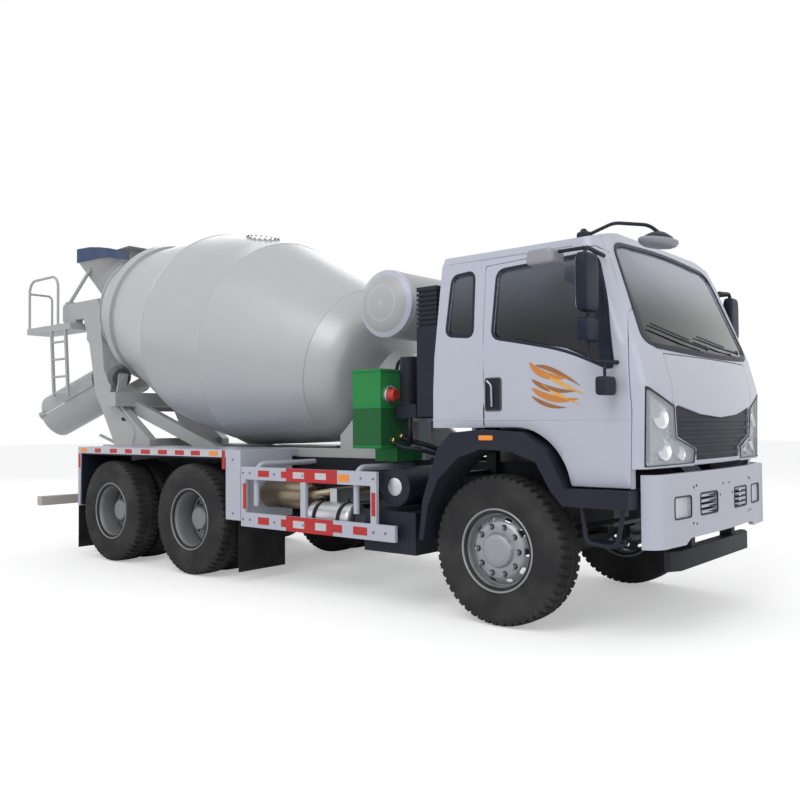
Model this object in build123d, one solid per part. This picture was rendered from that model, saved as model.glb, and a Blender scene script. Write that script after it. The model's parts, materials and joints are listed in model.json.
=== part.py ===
from build123d import *
import os
from math import cos, radians, sin, sqrt

# Concrete mixer truck, three axles, tilt cab. Millimetres and degrees, +X forward, +Y left, +Z up.
# Every place along the truck is measured from the front axle, and the whole truck is moved
# by ORIGIN_X when it is written, so that the origin is under the middle of its length.

# Overall
BUMPER_NOSE_X = 1190
REAR_OVERHANG = 7710
ORIGIN_X = (REAR_OVERHANG - BUMPER_NOSE_X) / 2
SEAT_GAP = 0.3
RUNNING_FIT = 0.05

# Axles, tyres and rims
WHEELBASE = 3400
TANDEM_SPACING = 1350
FRONT_WHEEL_Y = 1000
REAR_OUTER_Y = 1070
TWIN_SPACING = 320
TYRE_RADIUS = 525
TYRE_WIDTH = 278
BEAD_RADIUS = 254
FLANGE_RADIUS = 292
RIM_WIDTH = 256
RIM_WALL = 12
HUB_RADIUS = 120
SPINDLE_RADIUS = 35
AXLE_TUBE_RADIUS = 75
KINGPIN_Y = 850
KINGPIN_RADIUS = 20
REAR_AXLES = (-WHEELBASE, -WHEELBASE - TANDEM_SPACING)

# Frame
FRAME_TOP = 1100
RAIL_HEIGHT = 280
RAIL_FLANGE = 80
RAIL_WEB = 8
FRAME_HALF = 430
FRAME_FRONT = 930
FRAME_REAR = -6200
CROSSMEMBERS = (610, -1620, -2760, -4075, -5500, -6130)
SUBFRAME_HEIGHT = 85
SUBFRAME_TOP = FRAME_TOP + SUBFRAME_HEIGHT
SUBFRAME_FRONT = -1250

# Cab
CAB_WALL = 45
CAB_HALF = 1130
CAB_PIVOT = (1055, 800)
CAB_PIVOT_RADIUS = 30
PIVOT_CHEEK = 45
CAB_ARCH_Z = 1374
CAB_SILL_Z = 990
CAB_FLOOR_Z = 1140
CAB_NOSE_Z = 1113
CAB_REAR_X = -540
BEYOND_SIDES = ((-1300, -950), (950, 1300))
BEYOND_FRONT = (900, 1300)
DASH_GAP = 40
FLOOR_THICKNESS = 36
TUNNEL_HALF = 380
TUNNEL_TOP = 1600
ROOF_TOP = 2750
ROOF_APEX_X = 150
ROOF_RADIUS_ACROSS = 4400
ROOF_RADIUS_ALONG = 2900
SHUT_GAP = 5
GLASS_DEPTH = 14
GLASS_THICKNESS = 6
DOOR_HINGE = (1020, 1128)
PANEL_THICKNESS = 25
PANEL_TOP = 1850
PANEL_HINGE = (1100, 1870)

# Bumper
BUMPER_HALF = 1062
BUMPER_BOW = 45
BUMPER_END_X = 1030
BUMPER_TOP = 1075
BUMPER_BOTTOM = 612
BUMPER_WALL = 38
FOG_LAMP = ((600, 830), (785, 925))
AIR_VENT = ((170, 460), (785, 930))
VENT_SLATS = 4
PLATE_BOLTS = (220, 100)
PLATE_BOLT_RADIUS = 3.5
PLATE_Z = 857
UNDERRUN_Z = (435, 565)
UNDERRUN_HALF = 737

# Drum. Stations run along its axis from the front head to the mouth.
DRUM_START = (-1821, 1848)
DRUM_TILT = 13.93
DRUM_WALL = 8
RING_RADIUS = 840
RING_STATION = 3654
RING_WIDTH = 120
MOUTH_STATION = 4159
MOUTH_RADIUS = 683
ROLLER_RADIUS = 125
ROLLER_ANGLE = 36
ROLLER_WIDTH = 110
ROLLER_PIN = 25

# Rear pedestal, hopper, platform
PEDESTAL_HALF = 560
PEDESTAL_LEG = 100
PEDESTAL_HOLE = (-5790, 1690)
PEDESTAL_SLOT = (-5520, 1490)
HOPPER_TOP = 3510
HOPPER_REAR = -6760
HOPPER_FRONT = -5600
HOPPER_HALF = 450
LIP_TOP = 3670
LIP_WALL = 12
PLATFORM_TOP = 2705
PLATFORM_Y = (-640, -290)
RAIL_TOP = 3330
LADDER_FOOT = 1790
PEDESTAL_SHELF = 2745

# Chute
CHUTE_X = -6330
CHUTE_TURN = 20
CHUTE_SLOPE = 24
CHUTE_RADIUS = 275
CHUTE_WALL = 6
CHUTE_LENGTH = 1240
EXTENSION_LENGTH = 900
EXTENSION_LIFT = 8
EXTENSION_PIN_RADIUS = 7
CHUTE_Z = 2050
CHUTE_PIN_Z = 1640
CHUTE_PIN_RADIUS = 12

# Guards and fenders
SIDE_Y = 1200
FENDER_TOP = 1187
GUARD_TOP = 1040
AIR_TANK_Z = 610
SILENCER_Z = 785


def block(x, y, z):
    """Box between a low and a high value on each axis."""
    sizes = [high - low for low, high in (x, y, z)]
    middles = [(high + low) / 2 for low, high in (x, y, z)]
    return Pos(*middles) * Box(*sizes)


def flat_face(corners, grow):
    """Face on closed straight edges, moved outward by an amount."""
    face = Face(Wire.make_polygon(corners, close=True))
    return offset(face, amount=grow, kind=Kind.INTERSECTION).face() if grow else face


def side_prism(points, y, grow=0):
    """Solid between two y values on an outline of (x, z) points."""
    face = flat_face([(px, y[0], pz) for px, pz in points], grow)
    return extrude(face, amount=y[1] - y[0], dir=(0, 1, 0))


def front_prism(points, x, grow=0):
    """Solid between two x values on an outline of (y, z) points."""
    face = flat_face([(x[0], py, pz) for py, pz in points], grow)
    return extrude(face, amount=x[1] - x[0], dir=(1, 0, 0))


def plan_prism(points, z):
    """Solid between two z values on an outline of (x, y) points."""
    face = flat_face([(px, py, z[0]) for px, py in points], 0)
    return extrude(face, amount=z[1] - z[0], dir=(0, 0, 1))


def rod(start, end, radius):
    """Round bar between two points."""
    run = Vector(*end) - Vector(*start)
    return Solid.make_cylinder(radius, run.length, Plane(origin=start, z_dir=run))


def bent_tube(points, radius, bend):
    """Round tube along straight runs joined by arcs."""
    path = FilletPolyline(*points, radius=bend)
    return sweep(Plane(origin=path @ 0, z_dir=path % 0) * Circle(radius), path=path)


def turned(points, axis="Y"):
    """Solid turned about an axis through the origin, on an outline of (along, radius) points."""
    if axis == "X":
        outline = Wire.make_polygon([(along, 0, radius) for along, radius in points], close=True)
        return revolve(Face(outline), axis=Axis.X)
    outline = Wire.make_polygon([(radius, along, 0) for along, radius in points], close=True)
    return revolve(Face(outline), axis=Axis.Y)


def other_side(shape):
    """The same shape on the other side of the truck."""
    return mirror(shape, about=Plane.XZ)


def both_sides(shape):
    """A shape and its twin on the other side, as a list."""
    return [shape, other_side(shape)]


def fused(shapes):
    """One solid from many that touch."""
    first, *rest = shapes
    return first.fuse(*rest) if rest else first


def save(name, *shapes):
    """Write one node from the solids of its shapes, moved to the truck's own origin."""
    solids = [solid for shape in shapes for solid in shape.solids()]
    export_step(Pos(ORIGIN_X, 0, 0) * Compound(solids), f"parts/{name}.step")


os.makedirs("parts", exist_ok=True)


# Frame


def frame_rails():
    """Two channel rails, their crossmembers and the brackets and tube of the cab's pivot."""
    web = FRAME_HALF - RAIL_WEB
    lip = FRAME_HALF - RAIL_FLANGE
    low = FRAME_TOP - RAIL_HEIGHT
    channel = [
        (FRAME_HALF, low), (FRAME_HALF, FRAME_TOP), (lip, FRAME_TOP), (lip, FRAME_TOP - RAIL_WEB),
        (web, FRAME_TOP - RAIL_WEB), (web, low + RAIL_WEB), (lip, low + RAIL_WEB), (lip, low),
    ]
    pieces = both_sides(front_prism(channel, (FRAME_REAR, FRAME_FRONT)))
    for x in CROSSMEMBERS:
        pieces.append(block((x - 50, x + 50), (-web, web), (low + 50, FRAME_TOP - 50)))
    pivot_x, pivot_z = CAB_PIVOT
    cheek = side_prism(
        [
            (FRAME_FRONT - 90, FRAME_TOP), (FRAME_FRONT, FRAME_TOP), (pivot_x + PIVOT_CHEEK, pivot_z + 60),
            (pivot_x + PIVOT_CHEEK, pivot_z - 55), (pivot_x - PIVOT_CHEEK, pivot_z - 55),
            (FRAME_FRONT - 90, low),
        ],
        (lip, FRAME_HALF),
    )
    pieces += both_sides(cheek)
    pieces.append(rod((pivot_x, -lip, pivot_z), (pivot_x, lip, pivot_z), CAB_PIVOT_RADIUS))
    return fused(pieces)


def cab_rest():
    """Portal behind the engine that carries the back of the cab."""
    x = (CAB_REAR_X + 40, CAB_REAR_X + 130)
    top = CAB_ARCH_Z
    post = block(x, (FRAME_HALF, FRAME_HALF + 70), (FRAME_TOP - 200, top))
    foot = block(x, (FRAME_HALF + 70, FRAME_HALF + 220), (top - 60, top))
    return fused([post, foot])


def front_axle_beam():
    """Dropped beam with an eye for each kingpin."""
    half = 330
    beam = [
        (-KINGPIN_Y, 460), (-KINGPIN_Y, 560), (-640, 560), (-half - 60, 500), (half + 60, 500), (640, 560),
        (KINGPIN_Y, 560), (KINGPIN_Y, 460), (640, 460), (half, 400), (-half, 400), (-640, 460),
    ]
    shape = front_prism(beam, (-45, 45))
    for side in (-1, 1):
        y = side * KINGPIN_Y
        shape += rod((0, y, 440), (0, y, 600), 45)
        shape -= rod((0, y, 430), (0, y, 610), KINGPIN_RADIUS + RUNNING_FIT)
    pad = block((-110, 110), (350, 430), (500, 560))
    return fused([shape, *both_sides(pad)])


def knuckle(side):
    """Fork around the axle's eye, with its kingpin and the wheel spindle."""
    pin = rod((0, KINGPIN_Y, 405), (0, KINGPIN_Y, 635), KINGPIN_RADIUS)
    upper = block((-38, 38), (KINGPIN_Y - 38, KINGPIN_Y + 55), (600 + SEAT_GAP, 635))
    lower = block((-38, 38), (KINGPIN_Y - 38, KINGPIN_Y + 55), (405, 440 - SEAT_GAP))
    cheek = block((-38, 38), (KINGPIN_Y + 50, KINGPIN_Y + 68), (405, 635))
    spindle = rod((0, KINGPIN_Y + 60, TYRE_RADIUS), (0, FRONT_WHEEL_Y + 60, TYRE_RADIUS), SPINDLE_RADIUS)
    shape = fused([pin, upper, lower, cheek, spindle])
    return shape if side > 0 else other_side(shape)


def rear_axles():
    """Two driven axles, each a tube with a round final-drive case."""
    shapes = []
    end = REAR_OUTER_Y - TWIN_SPACING / 2
    for x in REAR_AXLES:
        case = turned([(-130, 0), (-130, 120), (-60, 210), (60, 210), (130, 120), (130, 0)])
        bowl = Pos(x, 0, TYRE_RADIUS) * case
        tube = rod((x, -560, TYRE_RADIUS), (x, 560, TYRE_RADIUS), AXLE_TUBE_RADIUS)
        shaft = rod((x, -end, TYRE_RADIUS), (x, end, TYRE_RADIUS), SPINDLE_RADIUS)
        pieces = [bowl, tube, shaft, rod((x, 0, TYRE_RADIUS + 60), (x + 330, 0, TYRE_RADIUS + 60), 75)]
        if x == REAR_AXLES[0]:
            pieces.append(rod((x - 260, 0, TYRE_RADIUS + 60), (x, 0, TYRE_RADIUS + 60), 60))
        shapes.append(fused(pieces))
    return shapes


def springs():
    """Leaf packs of the front axle and of the rear pair, with hangers up to the rails."""
    y = (355, 425)
    low = FRAME_TOP - RAIL_HEIGHT
    front_pack = side_prism(
        [
            (-720, 730), (-360, 640), (-100, 560), (100, 560), (360, 640), (720, 730),
            (720, 752), (360, 680), (100, 625), (-100, 625), (-360, 680), (-720, 752),
        ],
        y,
    )
    hangers = [block((x - 40, x + 40), y, (735, low)) for x in (-690, 690)]
    middle = sum(REAR_AXLES) / 2
    pad_z = TYRE_RADIUS + AXLE_TUBE_RADIUS
    reach = TANDEM_SPACING / 2
    rear_pack = side_prism(
        [
            (middle - reach - 60, pad_z), (middle - reach + 60, pad_z), (middle - 120, pad_z + 60),
            (middle + 120, pad_z + 60), (middle + reach - 60, pad_z), (middle + reach + 60, pad_z),
            (middle + reach + 60, pad_z + 30), (middle + 120, low), (middle - 120, low),
            (middle - reach - 60, pad_z + 30),
        ],
        y,
    )
    return both_sides(fused([front_pack, *hangers])) + both_sides(rear_pack)


def engine():
    """The engine and gearbox as plain blocks under the cab's tunnel."""
    motor = block((-560, 480), (-300, 300), (640, 1500))
    gearbox = block((-1500, -560), (-170, 170), (640, 1010))
    mount = block((-300, -200), (-FRAME_HALF + RAIL_WEB, FRAME_HALF - RAIL_WEB), (860, 940))
    front_mount = block((330, 430), (-FRAME_HALF + RAIL_WEB, FRAME_HALF - RAIL_WEB), (860, 940))
    return fused([motor, gearbox, mount, front_mount])


def prop_shafts():
    """Shaft from the gearbox to the middle axle and the short one between the axles."""
    middle, rear = REAR_AXLES
    high = TYRE_RADIUS + 60
    first = rod((-1512, 0, 800), (middle + 330, 0, high), 45)
    second = rod((middle - 260, 0, high), (rear + 330, 0, high), 40)
    return [first, second]


# Wheels


def tyre(y):
    """Tyre in place at the middle of its width, on an outline of width and radius."""
    half = TYRE_WIDTH / 2
    shoulder = TYRE_RADIUS - 20
    outline = [
        (-half * 0.80, BEAD_RADIUS), (-half * 0.84, FLANGE_RADIUS), (-half, BEAD_RADIUS + 140),
        (-half * 0.94, shoulder - 30), (-half * 0.78, shoulder + 12), (-half * 0.5, TYRE_RADIUS),
        (half * 0.5, TYRE_RADIUS), (half * 0.78, shoulder + 12), (half * 0.94, shoulder - 30),
        (half, BEAD_RADIUS + 140), (half * 0.84, FLANGE_RADIUS), (half * 0.80, BEAD_RADIUS),
    ]
    return Pos(0, y, 0) * turned(outline)


def rim_ring(y):
    """Barrel and two flanges of one rim."""
    half = RIM_WIDTH / 2
    inner = BEAD_RADIUS - RIM_WALL
    outline = [
        (-half, inner), (-half, FLANGE_RADIUS), (-half + 10, FLANGE_RADIUS), (-half + 10, BEAD_RADIUS),
        (half - 10, BEAD_RADIUS), (half - 10, FLANGE_RADIUS), (half, FLANGE_RADIUS), (half, inner),
    ]
    return Pos(0, y, 0) * turned(outline)


def hand_holes(y, count, radius, ring):
    """Cutters for the vent holes of a wheel disc."""
    cutters = []
    for index in range(count):
        turn = 360 * index / count
        hole = rod((ring, y - 90, 0), (ring, y + 90, 0), radius)
        cutters.append(Rot(0, turn, 0) * hole)
    return cutters


def front_rim():
    """Rim whose disc bulges outward to the hub, with a blind bore for the spindle."""
    disc = turned(
        [
            (58, BEAD_RADIUS - 2), (46, BEAD_RADIUS - 2), (60, 190), (96, 150), (96, HUB_RADIUS - 40),
            (108, HUB_RADIUS - 40), (108, 150), (72, 200),
        ]
    )
    hub = turned([(-75, 40), (-75, 90), (60, 110), (108, 85), (140, 70), (140, 0), (70, 0), (70, 40)])
    bore = rod((0, -100, 0), (0, 60 + SEAT_GAP, 0), SPINDLE_RADIUS + RUNNING_FIT)
    shape = fused([rim_ring(0), disc, hub, rod((0, -75, 0), (0, 80, 0), 60)])
    for cutter in [bore, *hand_holes(50, 10, 22, 205)]:
        shape -= cutter
    return shape


def rear_rims():
    """Twin rims, their discs back to back, on one hub."""
    half = TWIN_SPACING / 2
    disc = turned(
        [(-14, 60), (14, 60), (14, 190), (half - 60, BEAD_RADIUS), (half - 80, BEAD_RADIUS), (-14, 190)]
    )
    inner_disc = turned(
        [(-14, 190), (14, 190), (-half + 80, BEAD_RADIUS), (-half + 60, BEAD_RADIUS)]
    )
    hub = turned([(-90, 0), (-90, 110), (14, 140), (150, 95), (210, 80), (210, 0)])
    shape = fused([rim_ring(-half), rim_ring(half), disc, inner_disc, hub])
    for cutter in hand_holes(0, 8, 26, 212):
        shape -= cutter
    return shape - rod((0, -100, 0), (0, SEAT_GAP, 0), SPINDLE_RADIUS + RUNNING_FIT)


def save_wheels():
    """Six wheel assemblies: tyre and rim of each."""
    front_tyre = tyre(0)
    half = TWIN_SPACING / 2
    twin_tyres = [tyre(-half), tyre(half)]
    rear_y = REAR_OUTER_Y - half
    places = [("front", 0, FRONT_WHEEL_Y, [front_tyre], front_rim())]
    for name, x in zip(("middle", "rear"), REAR_AXLES):
        places.append((name, x, rear_y, twin_tyres, rear_rims()))
    for name, x, y, tyres, rim in places:
        spot = Pos(x, y, TYRE_RADIUS)
        placed_tyres = [spot * shape for shape in tyres]
        placed_rim = spot * rim
        save(f"tyre_{name}_left", *placed_tyres)
        save(f"rim_{name}_left", placed_rim)
        save(f"tyre_{name}_right", *[other_side(shape) for shape in placed_tyres])
        save(f"rim_{name}_right", other_side(placed_rim))


# Cab

# z, rear x, nose x at the middle, nose x at the corner, half width, corner radius
CAB_SECTIONS = (
    (990, -540, 1150, 1085, 1130, 110),
    (1640, -535, 1165, 1095, 1130, 110),
    (1895, -525, 1095, 1030, 1125, 110),
    (2560, -490, 790, 775, 1065, 110),
    (2790, -430, 690, 680, 1000, 110),
)


def cab_section(z, rear, nose, corner_x, half, radius, inset):
    """Closed plan outline of the cab at one height, drawn in by the inset."""
    rear += inset
    nose -= inset
    corner_x -= inset
    half -= inset
    bend = radius - inset / 2
    skew = bend * (1 - sqrt(0.5))
    right_side = Line((rear, -half, z), (corner_x - bend, -half, z))
    right_corner = ThreePointArc(
        (corner_x - bend, -half, z), (corner_x - skew, -half + skew, z), (corner_x, -half + bend, z)
    )
    front = ThreePointArc((corner_x, -half + bend, z), (nose, 0, z), (corner_x, half - bend, z))
    left_corner = ThreePointArc(
        (corner_x, half - bend, z), (corner_x - skew, half - skew, z), (corner_x - bend, half, z)
    )
    left_side = Line((corner_x - bend, half, z), (rear, half, z))
    back = Line((rear, half, z), (rear, -half, z))
    return Wire([right_side, right_corner, front, left_corner, left_side, back])


def cab_body(inset):
    """Solid of the whole cab, drawn in by the inset on every side and at the roof."""
    sections = [cab_section(*row, inset) for row in CAB_SECTIONS]
    body = Solid.make_loft(sections, ruled=True)
    across = Pos(300, 0, ROOF_TOP - inset - ROOF_RADIUS_ACROSS) * Rot(0, 90, 0)
    along = Pos(ROOF_APEX_X, 0, ROOF_TOP - inset - ROOF_RADIUS_ALONG) * Rot(90, 0, 0)
    body = body & (across * Cylinder(ROOF_RADIUS_ACROSS, 3000))
    return body & (along * Cylinder(ROOF_RADIUS_ALONG, 3000))


# Outlines in side view, (x, z)
CAB_LOWER_EDGE = (
    (-700, CAB_ARCH_Z), (270, CAB_ARCH_Z), (455, 1265), (560, 1110), (590, CAB_SILL_Z), (1002, CAB_SILL_Z),
    (1002, CAB_NOSE_Z), (1300, CAB_NOSE_Z), (1300, 3000), (-700, 3000),
)
DOOR_OUTLINE = (
    (-100, CAB_ARCH_Z), (270, CAB_ARCH_Z), (455, 1265), (560, 1110), (590, CAB_SILL_Z), (998, CAB_SILL_Z),
    (1012, 1479), (984, 1914), (884, 2457), (740, 2555), (-100, 2520),
)
DOOR_WINDOW = (
    (-15, 2010), (190, 1970), (560, 1890), (884, 1745), (826, 2190), (745, 2495), (8, 2465),
)
QUARTER_WINDOW = ((-413, 2057), (-200, 2034), (-203, 2480), (-381, 2465))
# Outlines in front view, (y, z)
WINDSCREEN = (
    (-955, 1950), (-880, 1915), (0, 1885), (880, 1915), (955, 1950), (845, 2555), (760, 2590), (0, 2625),
    (-760, 2590), (-845, 2555),
)
REAR_WINDOW = ((-450, 1980), (450, 1980), (450, 2360), (-450, 2360))
PANEL_OUTLINE = (
    (-460, CAB_NOSE_Z), (460, CAB_NOSE_Z), (440, 1220), (720, 1300), (745, 1510), (775, 1530),
    (780, PANEL_TOP), (-780, PANEL_TOP), (-775, 1530), (-745, 1510), (-720, 1300), (-440, 1220),
)
GRILLE_OUTLINE = (
    (-425, 1148), (425, 1148), (425, 1228), (703, 1310), (728, 1500), (690, 1512), (350, 1455),
    (0, 1434), (-350, 1455), (-690, 1512), (-728, 1500), (-703, 1310), (-425, 1228),
)
GRILLE_BARS = (1185, 1243, 1301, 1359, 1417)
HEADLAMP_OUTLINE = (
    (-1085, 1125), (-460, 1130), (-440, 1220), (-720, 1300), (-745, 1510), (-950, 1585), (-1080, 1630),
)
DOOR_HANDLE = ((-70, 60), (1500, 1715))
SNORKEL_LOUVRES = 8


def cab_interior_space():
    """Room inside the cab's walls, above the floor and the engine tunnel."""
    rear_floor = CAB_ARCH_Z + FLOOR_THICKNESS
    front_floor = CAB_FLOOR_Z + FLOOR_THICKNESS
    outline = [
        (-700, rear_floor), (430, rear_floor), (620, front_floor), (1300, front_floor), (1300, 3000),
        (-700, 3000),
    ]
    room = cab_body(CAB_WALL) & side_prism(outline, (-1300, 1300))
    tunnel = block((-700, 640), (-TUNNEL_HALF - 40, TUNNEL_HALF + 40), (1000, TUNNEL_TOP))
    return room - tunnel


def cab_walls():
    """Cab with its floor and tunnel, before windows and doors are cut."""
    shape = cab_body(0) & side_prism(CAB_LOWER_EDGE, (-1300, 1300))
    under = cab_body(CAB_WALL) & side_prism(
        [
            (-700, 900), (1300, 900), (1300, CAB_FLOOR_Z), (600, CAB_FLOOR_Z), (410, CAB_ARCH_Z),
            (-700, CAB_ARCH_Z),
        ],
        (-1300, 1300),
    )
    tunnel = block((-700, 600), (-TUNNEL_HALF, TUNNEL_HALF), (900, TUNNEL_TOP - 40))
    return shape - under - tunnel - cab_interior_space()


def skin(depth, thickness):
    """Thin shell under the cab's outer face."""
    return cab_body(depth) - cab_body(depth + thickness)


def cab_shell(walls):
    """Cab body with openings for doors, glass and front panel, and its two pivot legs."""
    shape = walls
    inside = cab_body(CAB_WALL + SHUT_GAP)
    for y in BEYOND_SIDES:
        shape -= side_prism(DOOR_OUTLINE, y) - inside
        shape -= side_prism(QUARTER_WINDOW, y)
    shape -= front_prism(WINDSCREEN, (600, 1300))
    shape -= front_prism(REAR_WINDOW, (-700, -400))
    layer = cab_body(0) - cab_body(PANEL_THICKNESS)
    shape -= layer & front_prism(PANEL_OUTLINE, BEYOND_FRONT)
    lamp = front_prism(HEADLAMP_OUTLINE, BEYOND_FRONT)
    for piece in both_sides(lamp):
        shape -= layer & piece
    pivot_x, pivot_z = CAB_PIVOT
    leg = side_prism(
        [(pivot_x - 50, pivot_z), (pivot_x + 20, pivot_z + 50), (830, CAB_FLOOR_Z), (700, CAB_FLOOR_Z)],
        (235, 285),
    )
    eye = rod((pivot_x, 235, pivot_z), (pivot_x, 285, pivot_z), 58)
    bore = rod((pivot_x, 230, pivot_z), (pivot_x, 290, pivot_z), CAB_PIVOT_RADIUS + RUNNING_FIT)
    for piece in both_sides(fused([leg, eye]) - bore):
        shape += piece
    return shape


def cab_glass():
    """Windscreen, rear window and quarter windows, each in its opening."""
    glass = skin(GLASS_DEPTH, GLASS_THICKNESS)
    panes = [glass & front_prism(WINDSCREEN, (600, 1300)), glass & front_prism(REAR_WINDOW, (-700, -400))]
    for y in BEYOND_SIDES:
        panes.append(glass & side_prism(QUARTER_WINDOW, y))
    return panes


def door(walls):
    """Right-hand door: its own part of the wall, less its window and the handle's recess."""
    y = BEYOND_SIDES[0]
    shape = (walls & side_prism(DOOR_OUTLINE, y, -SHUT_GAP)) - cab_body(CAB_WALL)
    x, z = DOOR_HANDLE
    recess = block(x, (-1300, -CAB_HALF + 28), z)
    middle = sum(z) / 2
    lever = block((x[0] - 5, x[1] + 5), (-CAB_HALF + 3, -CAB_HALF + 16), (middle + 20, middle + 62))
    return shape - side_prism(DOOR_WINDOW, y) - recess + lever


def front_panel():
    """Lid between the headlamps, from the windscreen to the bumper, less the grille."""
    layer = cab_body(0) - cab_body(PANEL_THICKNESS - 1)
    lid = layer & front_prism(PANEL_OUTLINE, BEYOND_FRONT, -SHUT_GAP)
    return lid - front_prism(GRILLE_OUTLINE, BEYOND_FRONT)


def grille():
    """Dark grille in the lid: a back plate and bars across."""
    outline = front_prism(GRILLE_OUTLINE, BEYOND_FRONT)
    back = (cab_body(PANEL_THICKNESS - 8) - cab_body(PANEL_THICKNESS - 1)) & outline
    pieces = [back]
    front = cab_body(3) - cab_body(PANEL_THICKNESS - 8)
    for z in GRILLE_BARS:
        bar = front & block(BEYOND_FRONT, (-740, 740), (z - 11, z + 11))
        pieces.append(bar & outline)
    return fused(pieces)


def headlamps():
    """Pair of lamp units let into the cab's front corners."""
    layer = cab_body(2) - cab_body(PANEL_THICKNESS)
    return both_sides(layer & front_prism(HEADLAMP_OUTLINE, BEYOND_FRONT))


def cab_interior(space):
    """Seats, dashboard and steering wheel."""
    floor_z = CAB_ARCH_Z + FLOOR_THICKNESS
    pieces = []
    for side in (-1, 1):
        y = sorted((side * 480, side * 960))
        base = block((-260, 150), (y[0] + 60, y[1] - 60), (floor_z, 1600))
        cushion = block((-330, 200), y, (1600, 1730))
        back = side_prism([(-330, 1730), (-200, 1730), (-290, 2330), (-400, 2330)], y)
        pieces.append(fused([base, cushion, back]))
    reach = CAB_HALF - CAB_WALL - DASH_GAP
    pieces.append(space & block((850, 1300), (-reach, reach), (1500, 1820)))
    wheel = Torus(230, 16) + Cylinder(40, 40) + Box(440, 30, 16)
    placed = Pos(720, 700, 1870) * Rot(0, -25, 0) * wheel
    column = rod((720, 700, 1870), (880, 700, 1540), 28)
    pieces.append(fused([placed, column]))
    return [fused([pieces[2], pieces[3]]), pieces[0], pieces[1]]


def door_mirrors():
    """Right-hand mirror arm on the door with its main, wide-angle, low and kerb mirror heads."""
    arm_y = -1310
    arm = bent_tube(
        [(800, -1050, 2478), (800, arm_y, 2500), (830, arm_y, 1780), (930, -1105, 1779)], 14, 50
    )
    pieces = [arm]
    # x, y and z spans of each head
    for x, y, z in (
        ((770, 850), (-1400, -1215), (2089, 2458)),
        ((775, 850), (-1395, -1220), (1902, 2052)),
        ((420, 620), (-1400, -1220), (2410, 2514)),
        ((850, 925), (-1310, -1150), (1572, 1689)),
    ):
        pieces.append(block(x, y, z))
    pieces.append(rod((600, arm_y, 2490), (800, arm_y, 2490), 12))
    pieces.append(rod((880, -1225, 1680), (880, -1225, 1785), 10))
    return fused(pieces) - cab_body(-SEAT_GAP)


def roof_mirror():
    """Kerb-view mirror on an arm from the roof's right front corner."""
    foot = block((560, 640), (-960, -900), (2600, 2680))
    arm = bent_tube([(600, -930, 2650), (800, -900, 2720), (980, -760, 2700), (1040, -720, 2640)], 12, 40)
    bowl = turned([(-50, 0), (-45, 90), (-10, 130), (8, 130), (50, 60), (60, 0)], "X")
    head = Pos(1035, -740, 2590) * Rot(0, -80, 0) * bowl
    return fused([foot, arm, head]) - cab_body(-SEAT_GAP)


def intake_snorkel():
    """Air intake column behind the cab, louvred at the top."""
    x, y = (-760, CAB_REAR_X - 25), (-1040, -860)
    column = block(x, y, (1457, 2443))
    depth = 12
    core = block((x[0] + depth, x[1] - depth), (y[0] + depth, y[1] - depth), (1457, 2443))
    for index in range(SNORKEL_LOUVRES):
        z = 2410 - 36 * index
        column -= block((x[0] - 5, x[1] + 5), (y[0] - 5, y[1] + 5), (z - 16, z)) - core
    bracket = block((CAB_REAR_X - 25, CAB_REAR_X + 60), (-960, -880), (1700, 1800))
    return column + bracket - cab_body(0)


# Front of the chassis


def bowed_bar(nose_x, side_x, end_x, straight, half, wall, z):
    """Bar bowed forward in plan, with turned-back ends and a constant wall."""
    outer = [
        ThreePointArc((side_x, -straight, z[0]), (nose_x, 0, z[0]), (side_x, straight, z[0])),
        ThreePointArc(
            (side_x, straight, z[0]), ((side_x * 2 + end_x) / 3, half - (half - straight) * 0.22, z[0]),
            (end_x, half, z[0]),
        ),
        Line((end_x, half, z[0]), (end_x, half - wall, z[0])),
        ThreePointArc(
            (end_x, half - wall, z[0]),
            ((side_x * 2 + end_x) / 3 - wall * 0.7, half - wall * 0.8 - (half - straight) * 0.22, z[0]),
            (side_x - wall, straight, z[0]),
        ),
        ThreePointArc(
            (side_x - wall, straight, z[0]), (nose_x - wall, 0, z[0]), (side_x - wall, -straight, z[0])
        ),
        ThreePointArc(
            (side_x - wall, -straight, z[0]),
            ((side_x * 2 + end_x) / 3 - wall * 0.7, -half + wall * 0.8 + (half - straight) * 0.22, z[0]),
            (end_x, -half + wall, z[0]),
        ),
        Line((end_x, -half + wall, z[0]), (end_x, -half, z[0])),
        ThreePointArc(
            (end_x, -half, z[0]), ((side_x * 2 + end_x) / 3, -half + (half - straight) * 0.22, z[0]),
            (side_x, -straight, z[0]),
        ),
    ]
    return extrude(Face(Wire(outer)), amount=z[1] - z[0], dir=(0, 0, 1))


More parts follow.
